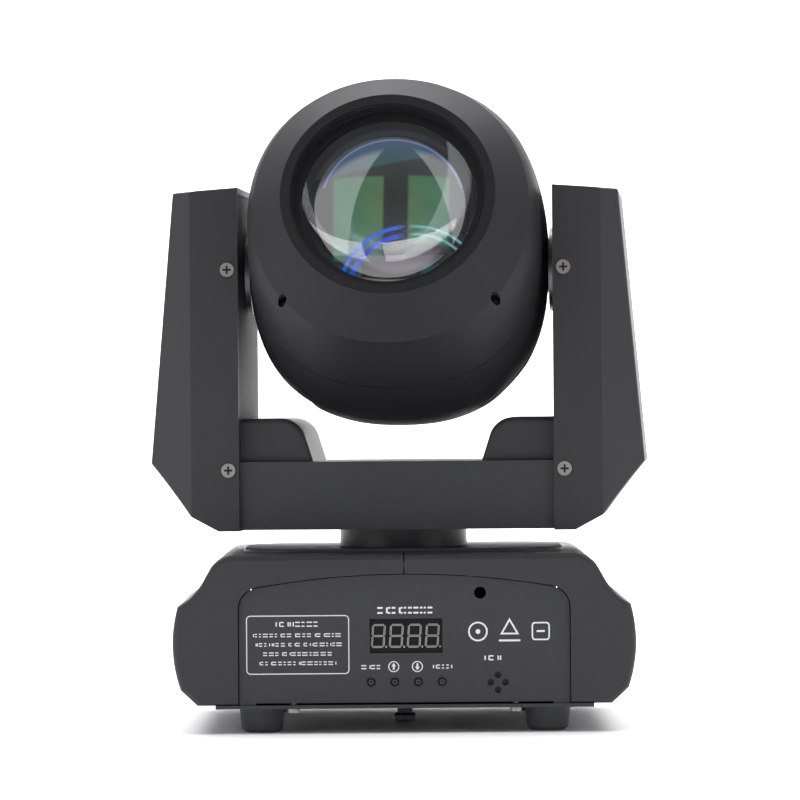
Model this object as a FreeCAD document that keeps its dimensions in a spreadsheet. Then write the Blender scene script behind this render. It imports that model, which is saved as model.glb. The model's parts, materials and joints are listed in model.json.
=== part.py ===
import FreeCAD, Part
import math
import os
import re

import Sketcher

# Moving head light: a base box on four feet, a yoke that pans on the base and a lamp head
# that tilts between the yoke's arms.  Millimetres, +Z up, the display and the lens face -Y.
# The origin lies on the pan axis at the plane that the feet stand on.

Vector = FreeCAD.Vector
Rotation = FreeCAD.Rotation

SIZES = [
    # rest pose, degrees
    ("pan_rest", -4.0), ("tilt_rest", 20.5),
    # base, outside
    ("base_front", 78.0), ("base_rear", 82.0), ("shell_wall", 2.5), ("shell_top", 74.5),
    ("brow_half", 70.0), ("shoulder_half", 80.5), ("shoulder_height", 69.8),
    ("waist_half", 83.0), ("waist_height", 65.5), ("flare_half", 94.6), ("flare_height", 53.5),
    ("wide_half", 96.8), ("wide_height", 38.0), ("skirt_half", 93.5), ("skirt_height", 18.5),
    ("foot_edge_half", 86.5), ("shell_bottom", 12.0), ("seam_gap", 0.5), ("shell_round", 2.0),
    ("brow_swell", 1.2), ("dip_depth", 0.95), ("recess_radius", 3.6), ("recess_deep", 1.6),
    ("recess_rise", 3.4),
    # panels
    ("sheet_thick", 1.5), ("panel_half", 69.0), ("panel_side_height", 59.5),
    ("panel_apex", 66.2), ("panel_corner", 9.0), ("panel_recess", 1.6), ("panel_gap", 0.4),
    ("slot_half", 62.0), ("slot_tall", 0.9),
    ("plate_half", 79.0), ("plate_bottom", 10.5),
    # top disc and neck
    ("disc_half", 68.5), ("disc_thick", 1.6), ("disc_depth", 46.0), ("disc_corner", 24.0), ("disc_round", 1.2),
    ("hub_radius", 27.5), ("neck_gap", 0.6), ("neck_bottom", 72.5),
    ("shaft_radius", 20.0), ("shaft_bottom", 52.0), ("cable_bore", 12.0),
    ("bearing_outer", 32.0), ("bearing_bottom", 66.5), ("bearing_tall", 5.3), ("running_gap", 0.05),
    ("frame_half", 58.0), ("leg_radius", 4.0), ("leg_inset", 6.0),
    # pan drive
    ("pan_pulley_radius", 30.0), ("pan_drive_radius", 6.0), ("pan_motor_x", -52.0),
    ("pulley_bottom", 55.0), ("pulley_tall", 7.0), ("motor_side", 42.0), ("motor_bevel", 3.5),
    ("motor_shaft", 2.5),
    ("belt_gap", 0.3), ("belt_thick", 1.2), ("belt_side_gap", 1.0),
    # feet and underside
    ("foot_x", 60.0), ("foot_y", 60.0), ("foot_top", 9.6), ("foot_low", 8.7), ("foot_round", 1.5),
    ("base_screw_x", 46.5), ("base_screw_y", 71.0), ("base_screw_head", 2.7), ("base_screw_tall", 1.9),
    ("base_screw_shank", 1.5),
    ("knob_y", -68.0), ("knob_radius", 4.85), ("knob_low", 4.4), ("knob_thick", 3.8),
    ("knob_shank", 1.9), ("nut_radius", 3.3), ("bracket_spacing", 60.0), ("bracket_hole", 3.1),
    # front panel contents
    ("display_x", 0.7), ("display_z", 40.6), ("display_wide", 30.0), ("display_tall", 14.0),
    ("display_set_back", 0.9), ("display_gap", 0.15),
    ("button_first_x", -14.0), ("button_pitch", 9.87), ("button_z", 21.4), ("button_radius", 1.8),
    ("button_hole_gap", 0.1), ("button_flange", 2.7),
    ("sensor_x", 31.7), ("sensor_z", 58.4), ("sensor_radius", 2.5),
    ("mic_x", 39.0), ("mic_z", 21.0), ("mic_ring", 3.1), ("mic_hole", 1.4), ("mic_radius", 4.8),
    ("board_thick", 1.6), ("board_set_back", 7.6),
    # rear panel contents
    ("inlet_x", -43.5), ("socket_z", 38.0), ("inlet_wide", 27.0), ("inlet_tall", 20.0),
    ("inlet_deep", 16.0), ("inlet_flange_wide", 49.0), ("inlet_flange_tall", 23.0),
    ("dmx_in_x", 10.0), ("dmx_out_x", 43.0), ("dmx_flange_wide", 26.0), ("dmx_flange_tall", 31.0),
    ("dmx_barrel", 11.8), ("dmx_mouth", 8.6), ("dmx_deep", 17.0), ("flange_thick", 2.0),
    ("fuse_x", -11.0), ("fuse_radius", 6.5), ("fuse_out", 13.6), ("fuse_deep", 18.0),
    # yoke
    ("arm_inner", 67.0), ("beam_bottom", 84.0), ("beam_top", 113.0), ("beam_depth", 39.0),
    ("beam_wall", 1.5), ("arm_depth", 42.0), ("arm_wall", 2.5), ("arm_top", 230.0),
    ("arm_top_half", 95.0), ("arm_top_drop", 2.0), ("arm_wide_half", 105.5), ("arm_wide_height", 112.5),
    ("arm_curve_half", 95.0), ("arm_curve_height", 99.5),
    ("arm_step_half", 88.0), ("arm_step_height", 90.0), ("arm_foot_half", 76.0), ("arm_bottom", 83.5),
    ("bevel_half", 87.5), ("bevel_back", 7.0), ("arm_edge_round", 1.2),
    ("arm_plate_thick", 2.0), ("arm_plate_gap", 0.1), ("arm_flange", 11.0),
    ("shoulder_reach", 36.0), ("shoulder_flat", 50.0), ("shoulder_step", 3.5), ("shoulder_drop", 7.5),
    ("shoulder_top", 131.5), ("shoulder_depth", 35.0),
    ("shoulder_wall", 2.0), ("shoulder_round", 2.2),
    ("arm_screw_x", 71.6), ("arm_screw_low", 109.5), ("arm_screw_head", 3.05), ("arm_screw_shank", 1.5),
    ("arm_screw_sink", 0.9), ("cross_half", 1.7), ("cross_thin", 0.35), ("arm_screw_long", 6.0),
    # tilt axle and drive
    ("tilt_height", 195.0), ("axle_radius", 10.0), ("axle_bore", 5.0), ("axle_flange", 18.0),
    ("axle_flange_in", 64.4), ("axle_flange_out", 66.4), ("axle_in", 58.0), ("tilt_bearing_outer", 15.0),
    ("tilt_bearing_thick", 7.0), ("tilt_pulley_radius", 24.0), ("tilt_drive_radius", 7.0),
    ("tilt_pulley_in", 86.0), ("tilt_pulley_thick", 5.0), ("tilt_motor_height", 128.0),
    ("tilt_motor_in", 69.2), ("tilt_motor_long", 15.0),
    # head shell stations, measured forward from the tilt axis
    ("rim_reach", 86.0), ("rim_radius", 45.0), ("crease_reach", 69.0),
    ("crease_half_wide", 58.3), ("crease_half_tall", 60.0), ("brow_reach", 48.0), ("brow_half_wide", 62.2),
    ("brow_half_tall", 67.0),
    ("cheek_reach", 24.0), ("cheek_half_wide", 63.8), ("cheek_half_tall", 71.6),
    ("middle_half_wide", 64.0), ("middle_half_tall", 70.0),
    ("back_reach", 20.0), ("back_half_wide", 60.5), ("back_half_tall", 64.0),
    ("nape_reach", 40.0), ("nape_half_wide", 53.5), ("nape_half_tall", 54.5),
    ("tail_reach", 60.0), ("tail_half_wide", 44.0), ("tail_half_tall", 43.0),
    ("end_reach", 74.0), ("end_half_wide", 34.0), ("end_half_tall", 30.5),
    ("crease_power", 2.1), ("brow_power", 2.3), ("cheek_power", 2.4), ("nape_power", 2.35), ("tail_power", 2.7),
    ("head_wall", 2.5), ("head_seam", 0.35), ("front_split", 40.0), ("scoop_radius", 60.0),
    ("scoop_sum", 92.0), ("scoop_reach", 4.0), ("tunnel_radius", 40.0), ("tunnel_mouth", 41.0),
    ("tunnel_back", 70.2),
    ("tunnel_wall", 2.0), ("vent_pitch", 7.5), ("vent_tall", 3.2), ("vent_half", 25.0),
    ("pit_x", 44.5), ("pit_drop", 40.5), ("pit_reach", 62.4), ("pit_radius", 2.0),
    # optics
    ("lens_radius", 38.4), ("lens_edge_front", 76.6), ("lens_edge", 2.6), ("lens_bulge", 10.5),
    ("retainer_lip", 36.8), ("retainer_front", 79.2), ("retainer_back", 71.7),
    ("plate_front", 6.0), ("plate_thick", 2.0), ("frame_radius", 50.0), ("beam_hole", 14.0),
    ("rail_x", 30.5), ("rail_radius", 2.0), ("rail_front", 64.0),
    ("carriage_rest", 44.0), ("carriage_thick", 8.0), ("carriage_radius", 24.0), ("focus_radius", 16.0),
    ("focus_half_thick", 4.0), ("wheel_offset", 26.0), ("wheel_radius", 36.5), ("wheel_thick", 1.2),
    ("wheel_hole", 8.0), ("gobo_reach", 9.0), ("colour_reach", 14.0), ("wheel_motor_radius", 12.0),
    ("wheel_motor_long", 15.0), ("wheel_shaft", 2.5),
    ("sink_reach", 18.0), ("sink_wide", 64.0), ("sink_tall", 56.0), ("sink_base", 5.0),
    ("sink_deep", 34.0), ("fin_thick", 1.6), ("fin_count", 11), ("led_side", 38.0), ("led_thick", 2.0),
    ("emitter_radius", 9.0), ("emitter_tall", 1.5), ("post_radius", 3.0), ("post_x", 26.0), ("post_z", 22.0),
    ("fan_side", 54.0), ("fan_front", 56.0), ("fan_thick", 10.0), ("fan_bore", 25.0), ("fan_hub", 10.5),
    ("fan_tip", 24.0), ("fan_pin", 1.5), ("blade_count", 7), ("blade_thick", 1.2), ("blade_turn", 38.0),
]

doc = FreeCAD.newDocument("MovingHeadLight")
sheet = doc.addObject("Spreadsheet::Sheet", "Sizes")
for row, (alias, number) in enumerate(SIZES, start=1):
    sheet.set("A%d" % row, alias)
    sheet.set("B%d" % row, str(number))
    sheet.setAlias("B%d" % row, alias)
doc.recompute()
ALIASES = {alias for alias, number in SIZES}
NODES = []


def formula(text):
    """The expression with each alias pointed at the sheet."""
    return re.sub(r"[a-z_]+", lambda word: "Sizes." + word[0] if word[0] in ALIASES else word[0], str(text))


def size(text):
    """The value that an expression has now, in millimetres or degrees."""
    result = sheet.evalExpression(formula(text))
    return float(getattr(result, "Value", result))


def bind(thing, settings):
    """Ties each property of a document object to its expression."""
    for name, text in settings.items():
        thing.setExpression(name, formula(text))
    return thing


# ---------------------------------------------------------------- primitives and booleans

def block(name, x0, x1, y0, y1, z0, z1):
    """A box between two corners."""
    return bind(doc.addObject("Part::Box", name), {
        "Length": "(%s) - (%s)" % (x1, x0), "Width": "(%s) - (%s)" % (y1, y0),
        "Height": "(%s) - (%s)" % (z1, z0), "Placement.Base.x": x0,
        "Placement.Base.y": y0, "Placement.Base.z": z0})


def rod(name, radius, axis, start, end, u, v):
    """A cylinder along x, y or z, from start to end, with its axis at (u, v)."""
    turn = {"x": Rotation(Vector(0, 1, 0), 90), "y": Rotation(Vector(1, 0, 0), -90), "z": Rotation()}
    spots = {"x": (start, u, v), "y": (u, start, v), "z": (u, v, start)}
    thing = doc.addObject("Part::Cylinder", name)
    thing.Placement = FreeCAD.Placement(Vector(), turn[axis])
    settings = {"Height": "(%s) - (%s)" % (end, start), "Radius": radius}
    for letter, text in zip("xyz", spots[axis]):
        settings["Placement.Base.%s" % letter] = text
    return bind(thing, settings)


def fuse(name, shapes):
    """Several overlapping or touching solids made one."""
    thing = doc.addObject("Part::MultiFuse", name)
    thing.Shapes = shapes
    thing.Refine = True
    return thing


def cut(name, base, tools):
    """The base with every tool taken away."""
    thing = doc.addObject("Part::Cut", name)
    thing.Base = base
    thing.Tool = tools[0] if len(tools) == 1 else fuse(name + "_tools", tools)
    return thing


def group(name, shapes):
    """Equal pieces kept as separate solids in one node."""
    thing = doc.addObject("Part::Compound", name)
    thing.Links = shapes
    return thing


def solid(name, shape):
    """A document object that holds a shape worked out from the sheet."""
    thing = doc.addObject("Part::Feature", name)
    thing.Shape = shape
    return thing


# ---------------------------------------------------------------- bodies from sketches

def new_sketch(body, name, plane):
    """An empty sketch on one of the body's own origin planes."""
    sketch = body.newObject("Sketcher::SketchObject", name)
    base = [entry for entry in body.Origin.OriginFeatures if entry.Role == plane][0]
    sketch.AttachmentSupport = [(base, "")]
    sketch.MapMode = "FlatFace"
    return sketch


def draw_outline(sketch, points):
    """A closed outline whose corners are tied to the sheet."""
    places = [Vector(size(u), size(v), 0) for u, v in points]
    edges = []
    for here, place in enumerate(places):
        after = places[(here + 1) % len(places)]
        edges.append(sketch.addGeometry(Part.LineSegment(place, after), False))
    for here, edge in enumerate(edges):
        after = edges[(here + 1) % len(edges)]
        sketch.addConstraint(Sketcher.Constraint("Coincident", edge, 2, after, 1))
    for edge, place, texts in zip(edges, places, points):
        for kind, number, text in zip(("DistanceX", "DistanceY"), (place.x, place.y), texts):
            at = sketch.addConstraint(Sketcher.Constraint(kind, -1, 1, edge, 1, number))
            sketch.setExpression("Constraints[%d]" % at, formula(text))


def draw_circle(sketch, u, v, radius):
    """A circle whose centre and radius are tied to the sheet."""
    ring = sketch.addGeometry(Part.Circle(Vector(size(u), size(v), 0), Vector(0, 0, 1), size(radius)), False)
    for kind, text in (("DistanceX", u), ("DistanceY", v)):
        at = sketch.addConstraint(Sketcher.Constraint(kind, -1, 1, ring, 3, size(text)))
        sketch.setExpression("Constraints[%d]" % at, formula(text))
    at = sketch.addConstraint(Sketcher.Constraint("Radius", ring, size(radius)))
    sketch.setExpression("Constraints[%d]" % at, formula(radius))


def turned_body(name, points):
    """A body turned about its own z axis from (radius, height) points."""
    body = doc.addObject("PartDesign::Body", name)
    sketch = new_sketch(body, name + "_profile", "XZ_Plane")
    draw_outline(sketch, points)
    turn = body.newObject("PartDesign::Revolution", name + "_turn")
    turn.Profile = sketch
    turn.ReferenceAxis = (sketch, ["V_Axis"])
    turn.Angle = 360.0
    return body


def add_pad(body, name, plane, thickness, draw, backwards=False):
    """A pad from a sketch that the draw function fills."""
    sketch = new_sketch(body, name + "_sketch", plane)
    draw(sketch)
    pad = body.newObject("PartDesign::Pad", name)
    pad.Profile = sketch
    pad.Reversed = backwards
    bind(pad, {"Length": thickness})
    doc.recompute()
    return pad


# ---------------------------------------------------------------- nodes and their places

def pan_place():
    """The yoke's turn about the pan axis at rest."""
    return FreeCAD.Placement(Vector(), Rotation(Vector(0, 0, 1), size("pan_rest")))


def tilt_place():
    """The head's place: turned with the yoke, lifted to the tilt axis, raised by the tilt."""
    lift = FreeCAD.Placement(Vector(0, 0, size("tilt_height")), Rotation(Vector(1, 0, 0), size("-tilt_rest")))
    return pan_place().multiply(lift)


def node(thing, label, place=None):
    """Marks a document object as a finished sub-part."""
    thing.Label = label
    if place:
        thing.Placement = place.multiply(thing.Placement)
    NODES.append(thing)
    return thing


# ---------------------------------------------------------------- base

def arch_prism(name, gap, y0, y1, bottom):
    """The panel's arched outline, grown by a gap, between two depths."""
    half = size("panel_half") + gap
    side = size("panel_side_height") + gap
    apex = size("panel_apex") + gap
    low = size(bottom)
    roof = Part.Arc(Vector(half, y0, side), Vector(0, y0, apex), Vector(-half, y0, side)).toShape()
    walls = Part.makePolygon([Vector(-half, y0, side), Vector(-half, y0, low),
                              Vector(half, y0, low), Vector(half, y0, side)])
    face = Part.Face(Part.Wire(Part.__sortEdges__(walls.Edges + [roof])))
    prism = face.extrude(Vector(0, y1 - y0, 0))
    corners = [edge for edge in prism.Edges if len(edge.Vertexes) == 2
               and all(abs(vertex.Z - side) < 1e-6 for vertex in edge.Vertexes)
               and abs(edge.Vertexes[0].X - edge.Vertexes[1].X) < 1e-6]
    return solid(name, prism.makeFillet(size("panel_corner") + gap, corners))


def shell_face(inset, y):
    """Half of the base's front outline on the +x side, drawn in by an inset."""
    top = Vector(0, y, size("shell_top") - inset)
    brow = Vector(size("brow_half"), y, size("shell_top") - inset)
    shoulder = Vector(size("shoulder_half") - 0.6 * inset, y, size("shoulder_height") - 0.8 * inset)
    between = (brow + shoulder) * 0.5 + Vector(size("brow_swell"), 0, size("brow_swell"))
    waist = Vector(size("waist_half") - 0.9 * inset, y, size("waist_height") - 0.4 * inset)
    flare = Vector(size("flare_half") - 0.9 * inset, y, size("flare_height") - 0.4 * inset)
    dip = (waist + flare) * 0.5 + Vector(size("-dip_depth"), 0, size("-dip_depth"))
    wide = Vector(size("wide_half") - inset, y, size("wide_height"))
    skirt = Vector(size("skirt_half") - inset, y, size("skirt_height") + 0.4 * inset)
    edge = Vector(size("foot_edge_half") - 0.5 * inset, y, size("shell_bottom") + inset)
    close = Vector(0, y, size("shell_bottom") + inset)
    edges = [Part.makeLine(top, brow), Part.Arc(brow, between, shoulder).toShape(),
             Part.makeLine(shoulder, waist), Part.Arc(waist, dip, flare).toShape(),
             Part.Arc(flare, wide, skirt).toShape(), Part.makeLine(skirt, edge),
             Part.makeLine(edge, close), Part.makeLine(close, top)]
    return Part.Face(Part.Wire(edges))


def rounded_shell(front, rear, radius):
    """The solid half of the base on the +x side, its front and rear rims rounded in short steps."""
    rings = []
    for degrees in (0, 30, 60, 90):
        angle = math.radians(degrees)
        rings.append((front + radius * (1 - math.cos(angle)), radius * (1 - math.sin(angle))))
    rings += [(front + rear - y, inset) for y, inset in reversed(rings)]
    return Part.makeLoft([shell_face(inset, y).OuterWire for y, inset in rings], True, True)


def base_shell(side):
    """One plastic half of the base: the +x one as drawn, the other mirrored."""
    wall = size("shell_wall")
    front = -size("base_front")
    rear = size("base_rear")
    outer = rounded_shell(front, rear, size("shell_round"))
    inner = shell_face(wall, front + wall).extrude(Vector(0, rear - front - 2 * wall, 0))
    base = solid("shell_%s_outer" % side, outer)
    hollow = solid("shell_%s_inner" % side, inner)
    opening = arch_prism("shell_%s_arch" % side, size("panel_gap"), -120, 120, "shell_bottom - 5")
    floor = block("shell_%s_floor" % side, "-1", "plate_half - 4", "-base_front + shell_wall",
                  "base_rear - shell_wall", "shell_bottom - 1", "shell_bottom + 6")
    neck = rod("shell_%s_neck" % side, "hub_radius + 2*neck_gap", "z", "shell_top - 20", "shell_top + 5", "0", "0")
    seam = block("shell_%s_seam" % side, "-5", "seam_gap/2", "-150", "150", "0", "100")
    tools = [hollow, opening, floor, neck, seam]
    for depth in ("-base_front + 24", "base_rear - 24"):
        tools.append(rod("shell_%s_recess%s" % (side, len(tools)), "recess_radius", "x", "skirt_half - recess_deep",
                         "wide_half + 5", depth, "skirt_height + recess_rise"))
    half = cut("shell_%s_half" % side, base, tools)
    return half if side == "right" else mirrored(half, "shell_left_mirrored")


def front_panel():
    """The sheet-metal front with its display window, button holes and microphone holes."""
    y0 = size("-base_front + panel_recess")
    blank = arch_prism("front_blank", 0, y0, y0 + size("sheet_thick"), "shell_bottom")
    tools = [block("front_window", "display_x - display_wide/2 - display_gap",
                   "display_x + display_wide/2 + display_gap", "-base_front - 5", "-base_front + 20",
                   "display_z - display_tall/2 - display_gap", "display_z + display_tall/2 + display_gap"),
             block("front_slot", "-slot_half", "slot_half", "-base_front - 5", "-base_front + 20",
                   "shell_bottom - 1", "shell_bottom + slot_tall")]
    for count in range(4):
        tools.append(rod("front_button_hole%d" % count, "button_radius + button_hole_gap", "y",
                         "-base_front - 5", "-base_front + 20",
                         "button_first_x + %d*button_pitch" % count, "button_z"))
    tools.append(rod("front_sensor_hole", "sensor_radius", "y", "-base_front - 5", "-base_front + 20",
                     "sensor_x", "sensor_z"))
    for count, (across, up) in enumerate(((1, 0), (-1, 0), (0, 1), (0, -1))):
        tools.append(rod("front_mic_hole%d" % count, "mic_hole", "y", "-base_front - 5", "-base_front + 20",
                         "mic_x + %d*mic_ring" % across, "mic_z + %d*mic_ring" % up))
    return cut("front_sheet", blank, tools)


def rear_panel():
    """The sheet-metal rear with one cut-out for each socket."""
    y1 = size("base_rear - panel_recess")
    blank = arch_prism("rear_blank", 0, y1 - size("sheet_thick"), y1, "shell_bottom")
    tools = [block("rear_inlet_hole", "inlet_x - inlet_wide/2 - 0.1", "inlet_x + inlet_wide/2 + 0.1",
                   "base_rear - 20", "base_rear + 5", "socket_z - inlet_tall/2 - 0.1",
                   "socket_z + inlet_tall/2 + 0.1"),
             rod("rear_in_hole", "dmx_barrel + 0.1", "y", "base_rear - 20", "base_rear + 5", "dmx_in_x", "socket_z"),
             rod("rear_out_hole", "dmx_barrel + 0.1", "y", "base_rear - 20", "base_rear + 5", "dmx_out_x", "socket_z"),
             rod("rear_fuse_hole", "fuse_radius - 1", "y", "base_rear - 20", "base_rear + 5", "fuse_x", "socket_z")]
    return cut("rear_sheet", blank, tools)


def bottom_plate():
    """The floor of the base with the holes of the hanging bracket, the screws and the knob."""
    body = doc.addObject("PartDesign::Body", "bottom_sheet")

    def draw(sketch):
        draw_outline(sketch, [("-plate_half", "-base_front + 0.4"), ("plate_half", "-base_front + 0.4"),
                              ("plate_half", "base_rear - 0.4"), ("-plate_half", "base_rear - 0.4")])
        for across in (-1, 1):
            for along in (-1, 1):
                draw_circle(sketch, "%d*bracket_spacing/2" % across, "%d*bracket_spacing/2" % along,
                            "bracket_hole")
                draw_circle(sketch, "%d*base_screw_x" % across, "%d*base_screw_y" % along, "base_screw_shank")
        draw_circle(sketch, "0", "knob_y", "knob_shank + running_gap")

    add_pad(body, "bottom_pad", "XY_Plane", "shell_bottom - plate_bottom", draw)
    body.Placement = FreeCAD.Placement(Vector(0, 0, size("plate_bottom")), Rotation())
    return body


def rubber_feet():
    """Four tapered feet with rounded rims."""
    feet = []
    for count, (across, along) in enumerate(((-1, -1), (1, -1), (-1, 1), (1, 1))):
        foot = turned_body("foot%d" % count, [
            ("0", "0"), ("foot_low - foot_round", "0"), ("foot_low", "foot_round"),
            ("foot_top", "plate_bottom"), ("0", "plate_bottom")])
        foot.Placement = FreeCAD.Placement(Vector(across * size("foot_x"), along * size("foot_y"), 0), Rotation())
        feet.append(foot)
    return group("feet", feet)


def base_screws():
    """Four pan-head screws up through the bottom plate."""
    screws = []
    for count, (across, along) in enumerate(((-1, -1), (1, -1), (-1, 1), (1, 1))):
        spot = ("%d*base_screw_x" % across, "%d*base_screw_y" % along)
        head = rod("base_screw_head%d" % count, "base_screw_head", "z", "plate_bottom - base_screw_tall",
                   "plate_bottom", *spot)
        shank = rod("base_screw_shank%d" % count, "base_screw_shank", "z", "plate_bottom - 0.5",
                    "shell_bottom + 1.2", *spot)
        screws.append(fuse("base_screw%d" % count, [head, shank]))
    return group("underside_screws", screws)


def bracket_knob():
    """The thumb knob under the front edge with its collar and shank, one turned piece."""
    body = turned_body("knob", [
        ("0", "knob_low"), ("knob_radius - 1", "knob_low"), ("knob_radius", "knob_low + 1"),
        ("knob_radius", "knob_low + knob_thick - 1"), ("knob_radius - 1", "knob_low + knob_thick"),
        ("nut_radius", "knob_low + knob_thick"), ("nut_radius", "plate_bottom - 0.3"),
        ("knob_shank", "plate_bottom - 0.3"), ("knob_shank", "shell_bottom + 5"), ("0", "shell_bottom + 5")])
    body.Placement = FreeCAD.Placement(Vector(0, size("knob_y"), 0), Rotation())
    return body


def top_disc():
    """The raised plate around the neck on top of the base."""
    plate = block("disc_blank", "-disc_half", "disc_half", "-disc_depth", "disc_depth",
                  "shell_top", "shell_top + disc_thick")
    neck = rod("disc_hole", "hub_radius + neck_gap", "z", "shell_top - 5", "shell_top + 10", "0", "0")
    doc.recompute()
    corners = [edge for edge in plate.Shape.Edges if edge.BoundBox.ZLength > 0.1]
    rounded = solid("disc_rounded", plate.Shape.makeFillet(size("disc_corner"), corners))
    rim = [edge for edge in rounded.Shape.Edges if edge.BoundBox.ZMin > size("shell_top") + 0.1]
    softened = solid("disc_softened", rounded.Shape.makeFillet(size("disc_round"), rim))
    return cut("disc", softened, [neck])


def bearing_frame():
    """The inner deck that carries the pan bearing, on four legs."""
    deck = block("deck", "-frame_half", "frame_half", "-frame_half", "frame_half", "bearing_bottom - 2",
                 "bearing_bottom")
    legs = [rod("deck_leg%d" % count, "leg_radius", "z", "shell_bottom", "bearing_bottom - 1",
                "%d*(frame_half - leg_inset)" % across, "%d*(frame_half - leg_inset)" % along)
            for count, (across, along) in enumerate(((-1, -1), (1, -1), (-1, 1), (1, 1)))]
    hole = rod("deck_hole", "shaft_radius + 1", "z", "bearing_bottom - 5", "bearing_bottom + 5", "0", "0")
    return cut("deck_frame", fuse("deck_blank", [deck] + legs), [hole])


def tube(name, outer, inner, axis, start, end, u="0", v="0"):
    """A ring along an axis."""
    return cut(name, rod(name + "_outer", outer, axis, start, end, u, v),
               [rod(name + "_bore", inner, axis, "(%s) - 1" % start, "(%s) + 1" % end, u, v)])


def belt_loop(name, far, near, distance, width, gap, thick):
    """A closed belt round two pulleys, the first at the origin and the second at +x, lying in xy."""
    def stadium(offset, low, high):
        big = far + offset
        small = near + offset
        lean = math.acos((big - small) / distance)
        up = Vector(math.cos(lean), math.sin(lean), 0)
        down = Vector(math.cos(lean), -math.sin(lean), 0)
        end = Vector(distance, 0, 0)
        edges = [Part.Arc(up * big, Vector(-big, 0, 0), down * big).toShape(),
                 Part.makeLine(down * big, end + down * small),
                 Part.Arc(end + down * small, end + Vector(small, 0, 0), end + up * small).toShape(),
                 Part.makeLine(end + up * small, up * big)]
        face = Part.Face(Part.Wire(edges))
        face.translate(Vector(0, 0, low))
        return face.extrude(Vector(0, 0, high - low))

    return solid(name, stadium(gap + thick, 0, width).cut(stadium(gap, -1, width + 1)))


def pan_belt():
    """The toothless stand-in loop between the pan pulleys."""
    belt = belt_loop("pan_loop", size("pan_pulley_radius"), size("pan_drive_radius"), abs(size("pan_motor_x")),
                     size("pulley_tall - 2*belt_side_gap"), size("belt_gap"), size("belt_thick"))
    belt.Placement = FreeCAD.Placement(Vector(0, 0, size("pulley_bottom + belt_side_gap")),
                                       Rotation(Vector(0, 0, 1), 180))
    return belt


def motor_block(name, x, side, bottom, top):
    """A square stepping motor with chamfered corners and a bore for its shaft, standing on z."""
    case = block(name + "_case", "%s - %s/2" % (x, side), "%s + %s/2" % (x, side), "-%s/2" % side,
                 "%s/2" % side, bottom, top)
    doc.recompute()
    corners = [edge for edge in case.Shape.Edges if edge.BoundBox.ZLength > 5]
    bevelled = solid(name + "_bevelled", case.Shape.makeChamfer(size("motor_bevel"), corners))
    bore = rod(name + "_bore", "motor_shaft + running_gap", "z", "(%s) - 12" % top, "(%s) + 1" % top, x, "0")
    return cut(name, bevelled, [bore])


def control_board():
    """The board behind the front panel."""
    return block("control_sheet", "-26", "48", "-base_front + panel_recess + board_set_back",
                 "-base_front + panel_recess + board_set_back + board_thick", "shell_bottom + 6.4", "panel_apex - 14")


def menu_button(count):
    """A push button with a flange that stops it behind the panel."""
    centre = "button_first_x + %d*button_pitch" % count
    stem = rod("button_stem%d" % count, "button_radius", "y", "-base_front + panel_recess - 0.2",
               "-base_front + panel_recess + board_set_back - 1.2", centre, "button_z")
    collar = rod("button_collar%d" % count, "button_flange", "y", "-base_front + panel_recess + sheet_thick + 0.15",
                 "-base_front + panel_recess + sheet_thick + 1.1", centre, "button_z")
    return fuse("button%d" % count, [stem, collar])


def dmx_socket(name, x):
    """A round signal socket: square flange, barrel and open mouth with a back wall."""
    flange = block(name + "_flange", "%s - dmx_flange_wide/2" % x, "%s + dmx_flange_wide/2" % x,
                   "base_rear - panel_recess", "base_rear - panel_recess + flange_thick",
                   "socket_z - dmx_flange_tall/2", "socket_z + dmx_flange_tall/2")
    barrel = rod(name + "_barrel", "dmx_barrel", "y", "base_rear - panel_recess - dmx_deep",
                 "base_rear - panel_recess + flange_thick", x, "socket_z")
    mouth = rod(name + "_mouth", "dmx_mouth", "y", "base_rear - panel_recess - dmx_deep + 3", "base_rear + 10",
                x, "socket_z")
    return cut(name + "_solid", fuse(name + "_blank", [flange, barrel]), [mouth])


def power_inlet():
    """The mains inlet: flange, body and an open socket."""
    flange = block("inlet_flange", "inlet_x - inlet_flange_wide/2", "inlet_x + inlet_flange_wide/2",
                   "base_rear - panel_recess", "base_rear - panel_recess + flange_thick",
                   "socket_z - inlet_flange_tall/2", "socket_z + inlet_flange_tall/2")
    case = block("inlet_case", "inlet_x - inlet_wide/2", "inlet_x + inlet_wide/2",
                 "base_rear - panel_recess - inlet_deep", "base_rear - panel_recess + flange_thick",
                 "socket_z - inlet_tall/2", "socket_z + inlet_tall/2")
    mouth = block("inlet_mouth", "inlet_x - inlet_wide/2 + 1.5", "inlet_x + inlet_wide/2 - 1.5",
                  "base_rear - panel_recess - inlet_deep + 2", "base_rear + 10",
                  "socket_z - inlet_tall/2 + 1.5", "socket_z + inlet_tall/2 - 1.5")
    pins = [block("inlet_pin%d" % count, "inlet_x + %s - 1" % across, "inlet_x + %s + 1" % across,
                  "base_rear - panel_recess - inlet_deep + 1", "base_rear - panel_recess - 2",
                  "socket_z + %s - 2.5" % up, "socket_z + %s + 2.5" % up)
            for count, (across, up) in enumerate(((-7, -2), (0, 3), (7, -2)))]
    return fuse("inlet_solid", [cut("inlet_socket", fuse("inlet_blank", [flange, case]), [mouth])] + pins)


def fuse_holder():
    """The round fuse holder with its screw cap behind the rear panel's face."""
    cap = rod("fuse_cap", "fuse_radius", "y", "base_rear - panel_recess", "base_rear - panel_recess + fuse_out",
              "fuse_x", "socket_z")
    stem = rod("fuse_stem", "fuse_radius - 1.1", "y", "base_rear - panel_recess - fuse_deep",
               "base_rear - panel_recess + 1", "fuse_x", "socket_z")
    return fuse("fuse_solid", [cap, stem])


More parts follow.
